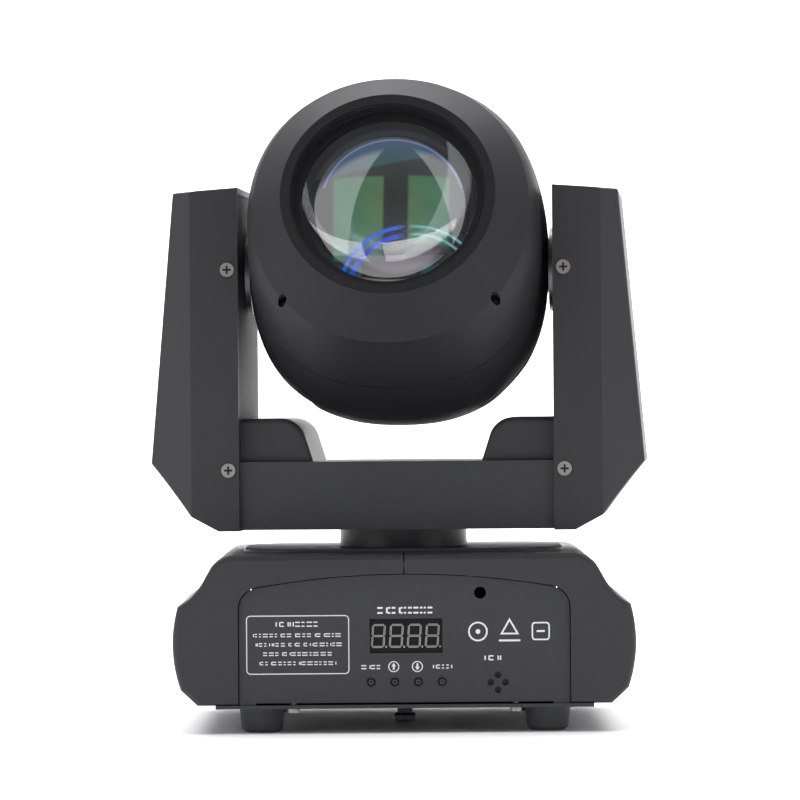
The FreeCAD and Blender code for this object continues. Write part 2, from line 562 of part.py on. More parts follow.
def build_base():
    """Every sub-part that stays with the base, and the small movers on it."""
    node(base_shell("left"), "base_shell_left")
    node(base_shell("right"), "base_shell_right")
    node(front_panel(), "front_panel")
    node(rear_panel(), "rear_panel")
    node(bottom_plate(), "bottom_plate")
    node(top_disc(), "top_disc")
    node(bearing_frame(), "bearing_frame")
    node(tube("pan_ring", "bearing_outer", "shaft_radius + running_gap", "z", "bearing_bottom",
              "bearing_bottom + bearing_tall"), "pan_bearing")
    node(pan_belt(), "pan_belt")
    node(motor_block("pan_motor_solid", "pan_motor_x", "motor_side", "shell_bottom", "pulley_bottom - 1"),
         "pan_motor")
    node(rubber_feet(), "rubber_feet")
    node(base_screws(), "base_screws")
    node(bracket_knob(), "bracket_knob")
    node(control_board(), "control_board")
    node(block("display_case", "display_x - display_wide/2", "display_x + display_wide/2",
               "-base_front + panel_recess + display_set_back",
               "-base_front + panel_recess + board_set_back", "display_z - display_tall/2",
               "display_z + display_tall/2"), "display_module")
    node(rod("mic_case", "mic_radius", "y", "-base_front + panel_recess + sheet_thick + 0.3",
             "-base_front + panel_recess + board_set_back", "mic_x", "mic_z"), "mic_capsule")
    for count, name in enumerate(("button_menu", "button_up", "button_down", "button_enter")):
        node(menu_button(count), name)
    node(block("supply_case", "bracket_spacing/2 + 6", "plate_half - 5", "-45", "45", "shell_bottom",
               "shell_bottom + 30"), "power_supply")
    node(block("main_sheet", "-22", "22", "-40", "48", "shell_bottom", "shell_bottom + 14"), "main_board")
    node(power_inlet(), "power_inlet")
    node(dmx_socket("dmx_in", "dmx_in_x"), "dmx_input_socket")
    node(dmx_socket("dmx_out", "dmx_out_x"), "dmx_output_socket")
    node(fuse_holder(), "fuse_holder")
    drive = fuse("pan_drive", [
        rod("pan_drive_wheel", "pan_drive_radius", "z", "pulley_bottom", "pulley_bottom + pulley_tall",
            "pan_motor_x", "0"),
        rod("pan_drive_shaft", "motor_shaft", "z", "pulley_bottom - 10", "pulley_bottom + 1", "pan_motor_x", "0")])
    node(drive, "pan_motor_pulley")


# ---------------------------------------------------------------- yoke

def arm_blank(inset):
    """The right arm's outline between its bevelled front and rear faces, drawn in by an inset."""
    depth = size("arm_depth") - inset
    slope = (size("arm_wide_half") - size("arm_top_half")) / (size("arm_top") - size("arm_wide_height"))
    top = size("arm_top") - inset
    inner = size("arm_inner") - (1 if inset else 0)
    corner = Vector(size("arm_top_half") - inset - slope * inset, -depth, top - size("arm_top_drop"))
    wide = Vector(size("arm_wide_half") - inset, -depth, size("arm_wide_height") + 0.3 * inset)
    step = Vector(size("arm_step_half") - 0.5 * inset, -depth, size("arm_step_height") + inset)
    curve = Vector(size("arm_curve_half") - 0.8 * inset, -depth, size("arm_curve_height") + 0.6 * inset)
    foot = Vector(size("arm_foot_half"), -depth, size("arm_bottom") + inset)
    edges = [Part.makeLine(Vector(inner, -depth, foot.z), foot), Part.makeLine(foot, step),
             Part.Arc(step, curve, wide).toShape(), Part.makeLine(wide, corner),
             Part.makeLine(corner, Vector(inner, -depth, top)),
             Part.makeLine(Vector(inner, -depth, top), Vector(inner, -depth, foot.z))]
    prism = Part.Face(Part.Wire(edges)).extrude(Vector(0, 2 * depth, 0))
    reach = size("arm_wide_half") + 10
    start = size("bevel_half")
    fall = size("bevel_back") * (reach - start) / (size("arm_wide_half") - start)
    for flip in (-1, 1):
        wedge = Part.makePolygon([Vector(start, flip * depth, 0), Vector(reach, flip * depth, 0),
                                  Vector(reach, flip * (depth - fall), 0), Vector(start, flip * depth, 0)])
        prism = prism.cut(Part.Face(wedge).extrude(Vector(0, 0, 300)))
    return prism


def screw_spots():
    """The four screws of the right arm: direction along y and height."""
    return [(flip, height) for flip in (-1, 1) for height in ("arm_screw_low", "tilt_height")]


def span(flip, near, far):
    """Start and end of a length along y, in rising order, on either side."""
    return (near, far) if flip > 0 else ("-(%s)" % far, "-(%s)" % near)


def arm_cover():
    """The plastic arm cover on the +x side with its screw recesses."""
    hollow = arm_blank(size("arm_wall"))
    outer = arm_blank(0)
    far = size("arm_wide_half") - 12
    rims = [edge for edge in outer.Edges if edge.BoundBox.ZMin > size("arm_step_height") and
            edge.BoundBox.XMin > size("bevel_half") - 1 and edge.BoundBox.XMax > far]
    shell = solid("cover_outer", outer.makeFillet(size("arm_edge_round"), rims))
    tools = [solid("cover_inner", hollow)]
    for count, (flip, height) in enumerate(screw_spots()):
        sink = span(flip, "arm_depth - arm_screw_sink", "arm_depth + 5")
        hole = span(flip, "arm_depth - 8", "arm_depth + 5")
        tools.append(rod("cover_sink%d" % count, "arm_screw_head + 0.35", "y", *sink, "arm_screw_x", height))
        tools.append(rod("cover_hole%d" % count, "arm_screw_shank", "y", *hole, "arm_screw_x", height))
    return cut("cover_solid", shell, tools)


def arm_plate():
    """The sheet-metal inner side of the arm: a plate with two flanges and the bearing's hole."""
    plate = block("side_plate", "arm_inner", "arm_inner + arm_plate_thick", "-(arm_depth - arm_wall - arm_plate_gap)",
                  "arm_depth - arm_wall - arm_plate_gap", "arm_bottom + arm_wall + arm_plate_gap",
                  "arm_top - arm_wall - 0.5")
    flanges = [block("side_flange%d" % (flip + 1), "arm_inner", "arm_inner + arm_flange",
                     *span(flip, "arm_depth - arm_wall - arm_plate_gap - 1.5", "arm_depth - arm_wall - arm_plate_gap"),
                     "beam_top - 12", "tilt_height + 12") for flip in (-1, 1)]
    bore = rod("side_bore", "tilt_bearing_outer", "x", "arm_inner - 5", "arm_inner + 10", "0", "tilt_height")
    slot = block("side_slot", "arm_inner - 5", "arm_inner + arm_plate_thick + 0.5", "-12", "12", "beam_bottom + 6",
                 "beam_bottom + 18")
    tools = [bore, slot]
    for count, (flip, height) in enumerate(screw_spots()):
        tools.append(rod("side_hole%d" % count, "arm_screw_shank", "y",
                         *span(flip, "arm_depth - 10", "arm_depth + 1"), "arm_screw_x", height))
    return cut("side_solid", fuse("side_blank", [plate] + flanges), tools)


def arm_screw(flip, height, name):
    """One cross-head screw of an arm cover."""
    head_span = span(flip, "arm_depth - arm_screw_sink", "arm_depth + 0.5")
    shank_span = span(flip, "arm_depth - arm_screw_long", "arm_depth - 0.2")
    head = rod(name + "_head", "arm_screw_head", "y", *head_span, "arm_screw_x", height)
    shank = rod(name + "_shank", "arm_screw_shank", "y", *shank_span, "arm_screw_x", height)
    slot = span(flip, "arm_depth - cross_thin", "arm_depth + 2")
    cross = [block(name + "_cross0", "arm_screw_x - cross_half", "arm_screw_x + cross_half", *slot,
                   "%s - cross_thin" % height, "%s + cross_thin" % height),
             block(name + "_cross1", "arm_screw_x - cross_thin", "arm_screw_x + cross_thin", *slot,
                   "%s - cross_half" % height, "%s + cross_half" % height)]
    return cut(name, fuse(name + "_blank", [head, shank]), cross)


def mirrored(source, name, place=FreeCAD.Placement()):
    """The same piece on the other side of the middle plane that its place carries along."""
    thing = doc.addObject("Part::Mirroring", name)
    thing.Source = source
    thing.Base = place.Base
    thing.Normal = place.Rotation.multVec(Vector(1, 0, 0))
    return thing


def shoulder_cover():
    """The hump over the joint of beam and arm, on the +x side."""
    def blank(inset):
        reach = size("shoulder_reach") + inset
        flat = size("shoulder_flat")
        top = size("shoulder_top") - inset
        low = size("beam_top") - (2 if inset else 0)
        depth = size("shoulder_depth") - inset
        far = size("arm_inner") - inset
        middle = Vector((reach + flat) / 2 + 0.5, -depth, top - 2)
        knee = Vector(reach + size("shoulder_step"), -depth, top - size("shoulder_drop"))
        edges = [Part.makeLine(Vector(reach, -depth, low), Vector(far, -depth, low)),
                 Part.makeLine(Vector(far, -depth, low), Vector(far, -depth, top)),
                 Part.makeLine(Vector(far, -depth, top), Vector(flat, -depth, top)),
                 Part.Arc(Vector(flat, -depth, top), middle, knee).toShape(),
                 Part.makeLine(knee, Vector(reach, -depth, low))]
        return Part.Face(Part.Wire(edges)).extrude(Vector(0, 2 * depth, 0))

    outer = blank(0)
    rims = [edge for edge in outer.Edges if abs(edge.BoundBox.YLength) < 1e-6
            and edge.BoundBox.ZMin > size("beam_top") + 5 and edge.BoundBox.XMax < size("arm_inner") + 1
            and edge.BoundBox.XLength > 1]
    rounded = solid("shoulder_outer", outer.makeFillet(size("shoulder_round"), rims))
    return cut("shoulder_solid", rounded, [solid("shoulder_inner", blank(size("shoulder_wall")))])


def yoke_beam():
    """The rectangular tube between the arms with the hub's cable hole in its floor."""
    outer = block("beam_outer", "-arm_inner", "arm_inner", "-beam_depth", "beam_depth", "beam_bottom", "beam_top")
    inner = block("beam_inner", "-arm_inner - 5", "arm_inner + 5", "-beam_depth + beam_wall",
                  "beam_depth - beam_wall", "beam_bottom + beam_wall", "beam_top - beam_wall")
    hole = rod("beam_hole_cut", "cable_bore", "z", "beam_bottom - 5", "beam_bottom + 5", "0", "0")
    return cut("beam_solid", outer, [inner, hole])


def tilt_motor():
    """The flat stepping motor in the right arm."""
    case = block("tilt_case", "tilt_motor_in", "tilt_motor_in + tilt_motor_long", "-motor_side/2", "motor_side/2",
                 "tilt_motor_height - motor_side/2", "tilt_motor_height + motor_side/2")
    doc.recompute()
    corners = [edge for edge in case.Shape.Edges if edge.BoundBox.XLength > 5]
    bevelled = solid("tilt_bevelled", case.Shape.makeChamfer(size("motor_bevel"), corners))
    bore = rod("tilt_motor_bore", "motor_shaft + running_gap", "x", "tilt_motor_in + tilt_motor_long - 10",
               "tilt_motor_in + tilt_motor_long + 2", "0", "tilt_motor_height")
    return cut("tilt_motor_solid", bevelled, [bore])


def tilt_belt():
    """The toothless stand-in loop between the tilt pulleys, standing in the right arm."""
    drop = size("tilt_height - tilt_motor_height")
    belt = belt_loop("tilt_loop", size("tilt_pulley_radius"), size("tilt_drive_radius"), drop,
                     size("tilt_pulley_thick - belt_side_gap"), size("belt_gap"), size("belt_thick"))
    belt.Placement = FreeCAD.Placement(Vector(size("tilt_pulley_in + belt_side_gap/2"), 0, size("tilt_height")),
                                       Rotation(Vector(0, 1, 0), 90))
    return belt


def build_yoke():
    """Every sub-part that pans but doesn't tilt."""
    place = pan_place()
    hub = turned_body("hub", [
        ("cable_bore", "shaft_bottom"), ("shaft_radius", "shaft_bottom"), ("shaft_radius", "neck_bottom"),
        ("hub_radius", "neck_bottom"), ("hub_radius", "beam_bottom"), ("cable_bore", "beam_bottom")])
    node(hub, "pan_hub", place)
    node(tube("pan_wheel", "pan_pulley_radius", "shaft_radius", "z", "pulley_bottom",
              "pulley_bottom + pulley_tall"), "pan_pulley", place)
    node(yoke_beam(), "yoke_beam", place)
    cover = arm_cover()
    plate = arm_plate()
    shoulder = shoulder_cover()
    node(mirrored(cover, "cover_left", place), "arm_cover_left")
    node(cover, "arm_cover_right", place)
    node(mirrored(plate, "plate_left", place), "arm_plate_left")
    node(plate, "arm_plate_right", place)
    node(mirrored(shoulder, "shoulder_left", place), "shoulder_cover_left")
    node(shoulder, "shoulder_cover_right", place)
    screws = [arm_screw(flip, height, "arm_screw%d" % count) for count, (flip, height) in enumerate(screw_spots())]
    screws += [mirrored(screw, screw.Name + "_left") for screw in screws]
    node(group("all_arm_screws", screws), "arm_screws", place)
    ring = tube("tilt_ring", "tilt_bearing_outer", "axle_radius + running_gap", "x", "arm_inner",
                "arm_inner + tilt_bearing_thick", "0", "tilt_height")
    node(group("tilt_rings", [ring, mirrored(ring, "tilt_ring_left")]), "tilt_bearings", place)
    node(tilt_motor(), "tilt_motor", place)
    node(tilt_belt(), "tilt_belt", place)
    drive = fuse("tilt_drive", [
        rod("tilt_drive_wheel", "tilt_drive_radius", "x", "tilt_pulley_in", "tilt_pulley_in + tilt_pulley_thick",
            "0", "tilt_motor_height"),
        rod("tilt_drive_shaft", "motor_shaft", "x", "tilt_motor_in + tilt_motor_long - 8",
            "tilt_pulley_in + 1", "0", "tilt_motor_height")])
    node(drive, "tilt_motor_pulley", place)


# ---------------------------------------------------------------- head, drawn level with the lens at -y

STATIONS = [("crease_reach", "crease_half_wide", "crease_half_tall", "crease_power"),
            ("brow_reach", "brow_half_wide", "brow_half_tall", "brow_power"),
            ("cheek_reach", "cheek_half_wide", "cheek_half_tall", "cheek_power"),
            ("0", "middle_half_wide", "middle_half_tall", "cheek_power"),
            ("-back_reach", "back_half_wide", "back_half_tall", "nape_power"),
            ("-nape_reach", "nape_half_wide", "nape_half_tall", "nape_power"),
            ("-tail_reach", "tail_half_wide", "tail_half_tall", "tail_power"),
            ("-end_reach", "end_half_wide", "end_half_tall", "tail_power")]


def smooth_ring(reach, half_wide, half_tall, power, count=24):
    """A closed spline across the optical axis: an ellipse for power 2, squarer above it."""
    points = []
    for step in range(count):
        angle = 2 * math.pi * step / count
        across = abs(math.cos(angle)) / half_wide
        up = abs(math.sin(angle)) / half_tall
        radius = (across ** power + up ** power) ** (-1 / power)
        points.append(Vector(radius * math.cos(angle), -reach, radius * math.sin(angle)))
    curve = Part.BSplineCurve()
    curve.interpolate(points, PeriodicFlag=True)
    return Part.Wire([curve.toShape()])


def head_blank(inset):
    """The head's closed outer form, drawn in by an inset, with its scooped rear corners."""
    rings = [smooth_ring(size(reach), size(half_wide) - inset, size(half_tall) - inset, size(power))
             for reach, half_wide, half_tall, power in STATIONS]
    rim = smooth_ring(size("rim_reach"), size("rim_radius") - inset, size("rim_radius") - inset, 2)
    nose = Part.makeLoft([rim, rings[0]], True, True)
    form = Part.makeLoft(rings, True, False).fuse(nose)
    radius = size("scoop_radius") + inset
    centre = size("scoop_sum") / 2 + size("scoop_radius") / math.sqrt(2)
    for across in (-1, 1):
        for up in (-1, 1):
            scoop = Part.makeCylinder(radius, 120, Vector(across * centre, -size("scoop_reach"), up * centre),
                                      Vector(0, 1, 0))
            form = form.cut(scoop)
    return form


def head_slab(near, far):
    """A slab across the optical axis between two reaches."""
    return Part.makeBox(300, far - near, 300, Vector(-150, -far, -150))


def head_shells():
    """The front shell with its lens tunnel, the upper and lower halves and the rear grille."""
    outer = head_blank(0)
    wall = size("head_wall")
    inner = head_blank(wall)
    seam = size("head_seam") / 2
    split = size("front_split")
    tail = -size("tail_reach")
    cavity = inner.common(head_slab(-size("end_reach") + wall, size("rim_reach") - wall))
    tunnel = Part.makeCone(size("tunnel_radius + tunnel_wall"), size("tunnel_mouth + tunnel_wall"),
                           size("rim_reach - tunnel_back"), Vector(0, -size("tunnel_back"), 0), Vector(0, -1, 0))
    bore_back = Part.makeCylinder(size("tunnel_radius"), size("retainer_front - tunnel_back + 1"),
                                  Vector(0, -size("tunnel_back") + 1, 0), Vector(0, -1, 0))
    bore = Part.makeCone(size("tunnel_radius"), size("tunnel_mouth"), size("rim_reach - retainer_front"),
                         Vector(0, -size("retainer_front"), 0), Vector(0, -1, 0))
    lip = Part.makeCylinder(size("tunnel_mouth"), 5, Vector(0, -size("rim_reach"), 0), Vector(0, -1, 0))
    hollow = cavity.cut(tunnel)
    shell = outer.cut(hollow).cut(bore_back).cut(bore).cut(lip)
    axle = Part.makeCylinder(size("axle_radius") + 2, 200, Vector(-100, 0, 0), Vector(1, 0, 0))
    shell = shell.cut(axle)
    for across in (-1, 1):
        pit = Part.makeCylinder(size("pit_radius"), size("rim_reach - pit_reach"),
                                Vector(across * size("pit_x"), -size("pit_reach"), -size("pit_drop")),
                                Vector(0, -1, 0))
        shell = shell.cut(pit)
    front = shell.common(head_slab(split + seam, 120))
    middle = shell.common(head_slab(tail + seam, split - seam))
    above = Part.makeBox(300, 300, 150, Vector(-150, -150, seam))
    below = Part.makeBox(300, 300, 150, Vector(-150, -150, -150 - seam))
    rear = shell.common(head_slab(-120, tail - seam))
    for row in range(-3, 4):
        slot = Part.makeBox(size("2*vent_half"), 12, size("vent_tall"),
                            Vector(-size("vent_half"), size("end_reach") - 6, row * size("vent_pitch")
                                   - size("vent_tall") / 2))
        rear = rear.cut(slot)
    return front, middle.common(above), middle.common(below), rear


def front_lens():
    """The plano-convex front lens."""
    radius = size("lens_radius")
    bulge = size("lens_bulge")
    dome = size("retainer_lip") - 0.2
    ball = (dome ** 2 + bulge ** 2) / (2 * bulge)
    plane = -size("lens_edge_front")
    sphere = Part.makeSphere(ball, Vector(0, plane - bulge + ball, 0))
    cap = sphere.common(Part.makeBox(200, 200, 200, Vector(-100, plane - 200, -100)))
    edge = Part.makeCylinder(radius, size("lens_edge"), Vector(0, plane, 0), Vector(0, 1, 0))
    return cap.fuse(edge).removeSplitter()


def lens_retainer():
    """The black ring that holds the front lens from both sides of its edge."""
    outer = rod("retainer_outer", "tunnel_radius", "y", "-retainer_front", "-retainer_back", "0", "0")
    seat = rod("retainer_seat", "lens_radius", "y", "-lens_edge_front", "-retainer_back + 1", "0", "0")
    lip = rod("retainer_mouth", "retainer_lip", "y", "-retainer_front - 1", "-lens_edge_front + 1", "0", "0")
    return cut("retainer_solid", outer, [seat, lip])


def head_frame():
    """The optics plate with its side ears, the posts of the heat sink and the focus rails."""
    disc = rod("frame_disc", "frame_radius", "y", "-plate_front", "-plate_front + plate_thick", "0", "0")
    arms = block("frame_arms", "-axle_in", "axle_in", "-plate_front", "-plate_front + plate_thick", "-16", "16")
    ears = [block("frame_ear%d" % count, low, high, "-plate_front", "16", "-16", "16")
            for count, (low, high) in enumerate((("-axle_in", "-axle_in + 2"), ("axle_in - 2", "axle_in")))]
    posts = [rod("frame_post%d" % count, "post_radius", "y", "-plate_front + 1", "sink_reach",
                 "%d*post_x" % across, "%d*post_z" % up)
             for count, (across, up) in enumerate(((-1, -1), (1, -1), (-1, 1), (1, 1)))]
    rails = [rod("frame_rail%d" % count, "rail_radius", "y", "-rail_front", "-plate_front + 1",
                 "%d*rail_x" % across, "0") for count, across in enumerate((-1, 1))]
    solid_frame = fuse("frame_blank", [disc, arms] + ears + posts + rails)
    holes = [rod("frame_beam_hole", "beam_hole", "y", "-plate_front - 1", "10", "0", "0")]
    for count, up in enumerate((-1, 1)):
        holes.append(rod("frame_shaft_hole%d" % count, "wheel_shaft + 1.5", "y", "-plate_front - 1",
                         "-plate_front + plate_thick + 1", "0", "%d*wheel_offset" % up))
    return cut("frame_solid", solid_frame, holes)


def wheel_motors():
    """The two small stepping motors behind the optics plate."""
    motors = []
    for count, up in enumerate((-1, 1)):
        case = rod("wheel_case%d" % count, "wheel_motor_radius", "y", "-plate_front + plate_thick",
                   "-plate_front + plate_thick + wheel_motor_long", "0", "%d*wheel_offset" % up)
        bore = rod("wheel_bore%d" % count, "wheel_shaft + running_gap", "y", "-plate_front",
                   "-plate_front + plate_thick + 10", "0", "%d*wheel_offset" % up)
        motors.append(cut("wheel_motor%d" % count, case, [bore]))
    return group("wheel_motor_pair", motors)


def filter_wheel(name, reach, up, openings):
    """A wheel of round openings on its own shaft, made level and then stood across the optical axis."""
    body = doc.addObject("PartDesign::Body", name)

    def disc(sketch):
        draw_circle(sketch, "0", "0", "wheel_radius")
        draw_circle(sketch, "wheel_offset", "0", "wheel_hole")

    add_pad(body, name + "_disc", "XY_Plane", "wheel_thick", disc)
    pocket_sketch = new_sketch(body, name + "_hole_sketch", "XY_Plane")
    turn = 360.0 / openings
    draw_circle(pocket_sketch, "wheel_offset*cos(%g)" % turn, "wheel_offset*sin(%g)" % turn, "wheel_hole")
    pocket = body.newObject("PartDesign::Pocket", name + "_hole")
    pocket.Profile = pocket_sketch
    pocket.Reversed = True
    bind(pocket, {"Length": "wheel_thick"})
    doc.recompute()
    pattern = body.newObject("PartDesign::PolarPattern", name + "_pattern")
    pattern.Originals = [pocket]
    pattern.Axis = (pocket_sketch, ["N_Axis"])
    pattern.Angle = 360.0 * (openings - 2) / openings
    pattern.Occurrences = openings - 1
    body.Tip = pattern
    doc.recompute()
    add_pad(body, name + "_shaft", "XY_Plane", "%s - plate_front + plate_thick + 7" % reach,
            lambda sketch: draw_circle(sketch, "0", "0", "wheel_shaft"), backwards=True)
    body.Placement = FreeCAD.Placement(Vector(0, -size(reach), up * size("wheel_offset")),
                                       Rotation(Vector(0, 1, 0), 90 * up).multiply(Rotation(Vector(1, 0, 0), 90)))
    return body


def heat_sink():
    """A base plate with a row of fins."""
    body = doc.addObject("PartDesign::Body", "sink")
    add_pad(body, "sink_plate", "XZ_Plane", "sink_base",
            lambda sketch: draw_outline(sketch, [("-sink_wide/2", "-sink_tall/2"), ("sink_wide/2", "-sink_tall/2"),
                                                 ("sink_wide/2", "sink_tall/2"), ("-sink_wide/2", "sink_tall/2")]),
            backwards=True)
    fin = add_pad(body, "sink_fin", "XZ_Plane", "sink_deep",
                  lambda sketch: draw_outline(sketch, [
                      ("-sink_wide/2", "-sink_tall/2"), ("-sink_wide/2 + fin_thick", "-sink_tall/2"),
                      ("-sink_wide/2 + fin_thick", "sink_tall/2"), ("-sink_wide/2", "sink_tall/2")]),
                  backwards=True)
    row = body.newObject("PartDesign::LinearPattern", "sink_fins")
    row.Originals = [fin]
    row.Direction = (fin.Profile[0], ["H_Axis"])
    bind(row, {"Length": "sink_wide - fin_thick", "Occurrences": "fin_count"})
    body.Tip = row
    body.Placement = FreeCAD.Placement(Vector(0, size("sink_reach"), 0), Rotation())
    return body


def fan_frame():
    """The fan's square housing with its spokes, hub disc and pin."""
    back = "fan_front + fan_thick"
    case = block("fan_case", "-fan_side/2", "fan_side/2", "fan_front", back, "-fan_side/2", "fan_side/2")
    ring = cut("fan_ring", case, [rod("fan_hole", "fan_bore", "y", "fan_front - 1", back + " + 1", "0", "0")])
    spokes = [block("fan_spoke0", "-fan_bore - 0.5", "fan_bore + 0.5", back + " - 1.4", back, "-1.5", "1.5"),
              block("fan_spoke1", "-1.5", "1.5", back + " - 1.4", back, "-fan_bore - 0.5", "fan_bore + 0.5")]
    disc = rod("fan_back", "fan_hub", "y", back + " - 1.4", back, "0", "0")
    pin = rod("fan_pin_rod", "fan_pin", "y", "fan_front + 2", back + " - 1", "0", "0")
    return fuse("fan_housing", [ring, disc, pin] + spokes)


def fan_rotor():
    """The impeller: a bored hub with twisted blades."""
    front = "fan_front + 1"
    back = "fan_front + fan_thick - 2.2"
    hub = rod("rotor_hub", "fan_hub", "y", front, back, "0", "0")
    pieces = [hub]
    thickness = size("blade_thick")
    chord = size("(%s) - (%s)" % (back, front)) / math.cos(math.radians(size("blade_turn"))) - thickness
    centre = size("((%s) + (%s))/2" % (back, front))
    for count in range(int(size("blade_count"))):
        blade = Part.makeBox(thickness, chord, size("fan_tip - fan_hub") + 1,
                             Vector(-thickness / 2, -chord / 2, size("fan_hub") - 1))
        blade.rotate(Vector(), Vector(0, 0, 1), size("blade_turn"))
        blade.translate(Vector(0, centre, 0))
        blade.rotate(Vector(), Vector(0, 1, 0), 360.0 * count / size("blade_count"))
        pieces.append(solid("rotor_blade%d" % count, blade))
    bore = rod("rotor_bore", "fan_pin + running_gap", "y", front + " - 1", back + " + 1", "0", "0")
    return cut("rotor", fuse("rotor_blank", pieces), [bore])


def focus_carriage():
    """The ring that carries the focus lens along the two rails."""
    start = "-carriage_rest - carriage_thick"
    ring = rod("carriage_ring", "carriage_radius", "y", start, "-carriage_rest", "0", "0")
    ears = block("carriage_ears", "-rail_x - 5", "rail_x + 5", start, "-carriage_rest", "-5", "5")
    holes = [rod("carriage_hole%d" % count, "rail_radius + running_gap", "y", start + " - 1", "-carriage_rest + 1",
                 "%d*rail_x" % across, "0") for count, across in enumerate((-1, 1))]
    mouth = rod("carriage_mouth", "focus_radius", "y", start + " - 1", "-carriage_rest + 1", "0", "0")
    return cut("carriage_solid", fuse("carriage_blank", [ring, ears]), holes + [mouth])


def focus_lens():
    """The double-convex focus lens in the carriage."""
    radius = size("focus_radius")
    rise = size("focus_half_thick")
    ball = (radius ** 2 + rise ** 2) / (2 * rise)
    middle = -size("carriage_rest + carriage_thick/2")
    front = Part.makeSphere(ball, Vector(0, middle - rise + ball, 0))
    back = Part.makeSphere(ball, Vector(0, middle + rise - ball, 0))
    return front.common(back)


def axle():
    """The right tilt axle: inner end, outer flange and the tube through the bearing."""
    inner = rod("axle_tube", "axle_radius", "x", "axle_in", "tilt_pulley_in + tilt_pulley_thick + 1", "0", "0")
    flange = rod("axle_disc", "axle_flange", "x", "axle_flange_in", "axle_flange_out", "0", "0")
    bore = rod("axle_hole", "axle_bore", "x", "axle_in - 1", "tilt_pulley_in + tilt_pulley_thick + 5", "0", "0")
    return cut("axle_solid", fuse("axle_blank", [inner, flange]), [bore])


def build_head():
    """Every sub-part that tilts, and the wheels, carriage and fan that move inside it."""
    place = tilt_place()
    names = ("front_shell", "upper_shell", "lower_shell", "rear_grille")
    for name, shape in zip(names, head_shells()):
        node(solid(name + "_solid", shape), name, place)
    node(solid("front_lens_solid", front_lens()), "front_lens", place)
    node(lens_retainer(), "lens_retainer", place)
    node(head_frame(), "head_frame", place)
    right = axle()
    node(mirrored(right, "axle_left", place), "tilt_hub_left")
    node(right, "tilt_hub_right", place)
    node(tube("tilt_wheel", "tilt_pulley_radius", "axle_radius", "x", "tilt_pulley_in",
              "tilt_pulley_in + tilt_pulley_thick"), "tilt_pulley", place)
    node(wheel_motors(), "wheel_motors", place)
    node(filter_wheel("gobo", "gobo_reach", -1, 8), "gobo_wheel", place)
    node(filter_wheel("colour", "colour_reach", 1, 8), "colour_wheel", place)
    board = block("led_board", "-led_side/2", "led_side/2", "sink_reach - led_thick", "sink_reach",
                  "-led_side/2", "led_side/2")
    emitter = rod("led_emitter", "emitter_radius", "y", "sink_reach - led_thick - emitter_tall",
                  "sink_reach - 1", "0", "0")
    node(fuse("led_solid", [board, emitter]), "led_module", place)
    node(heat_sink(), "heat_sink", place)
    node(fan_frame(), "fan_frame", place)
    node(fan_rotor(), "fan_rotor", place)
    node(focus_carriage(), "focus_carriage", place)
    node(solid("focus_lens_solid", focus_lens()), "focus_lens", place)


# ---------------------------------------------------------------- check and write

def write_parts():
    """Checks the document and writes one STEP file for each sub-part."""
    doc.recompute()
    for thing in doc.Objects:
        if "Invalid" in thing.State or "Error" in thing.State:
            raise ValueError("%s failed: %s" % (thing.Name, thing.State))
    for thing in NODES:
        if thing.Shape.isNull() or not thing.Shape.isValid() or not thing.Shape.Solids:
            raise ValueError("%s has no valid solid" % thing.Label)
    os.makedirs("parts", exist_ok=True)
    for thing in NODES:
        thing.Shape.exportStep("parts/%s.step" % thing.Label)


build_base()
build_yoke()
build_head()
write_parts()
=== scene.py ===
import json
import math
import random

import bmesh
import bpy
from bpy.props import FloatProperty, FloatVectorProperty, IntProperty, PointerProperty
from mathutils import Matrix, Vector


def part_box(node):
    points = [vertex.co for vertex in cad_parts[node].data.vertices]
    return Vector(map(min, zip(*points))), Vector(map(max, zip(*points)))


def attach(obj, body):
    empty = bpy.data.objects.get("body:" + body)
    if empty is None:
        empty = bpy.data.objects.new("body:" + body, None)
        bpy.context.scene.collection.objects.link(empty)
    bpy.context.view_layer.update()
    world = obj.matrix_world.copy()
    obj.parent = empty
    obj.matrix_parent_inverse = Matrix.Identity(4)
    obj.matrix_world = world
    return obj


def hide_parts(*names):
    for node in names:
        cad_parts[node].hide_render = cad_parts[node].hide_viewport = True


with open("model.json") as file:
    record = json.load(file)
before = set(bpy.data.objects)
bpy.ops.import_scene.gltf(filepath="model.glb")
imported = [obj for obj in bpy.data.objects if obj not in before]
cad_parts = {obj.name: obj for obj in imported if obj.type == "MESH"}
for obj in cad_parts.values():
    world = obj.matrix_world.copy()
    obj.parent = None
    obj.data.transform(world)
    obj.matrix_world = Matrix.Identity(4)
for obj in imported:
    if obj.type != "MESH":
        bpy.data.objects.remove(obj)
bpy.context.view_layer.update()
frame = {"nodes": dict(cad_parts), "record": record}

bl_info = {
    "name": "Moving head light",
    "version": (1, 0, 0),
    "blender": (4, 5, 0),
    "location": "3D View > Sidebar > Light",
    "description": "Finishes, prints, optics and socket details of a pan-and-tilt spotlight",
    "category": "Object",
}

MM = 0.001


# ---------------------------------------------------------------- places taken from the frame

def joint(name):
    """A joint of the frame by its name."""
    return next(entry for entry in frame["record"]["behaviour"]["joints"] if entry["name"] == name)


def head_matrix():
    """The head's own axes: x along the tilt axle, -y out of the lens, origin on the tilt axis."""
    across = -Vector(joint("tilt")["axis"])
    back = -Vector(joint("focus_slide")["axis"])
    up = across.cross(back)
    turn = Matrix((across, back, up)).transposed().to_4x4()
    return Matrix.Translation(Vector(joint("tilt")["pos_m"])) @ turn


def yoke_matrix():
    """The arms' own axes: x along the tilt axle, z up, origin on the tilt axis."""
    across = -Vector(joint("tilt")["axis"])
    up = Vector((0.0, 0.0, 1.0))
    turn = Matrix((across, up.cross(across), up)).transposed().to_4x4()
    return Matrix.Translation(Vector(joint("tilt")["pos_m"])) @ turn


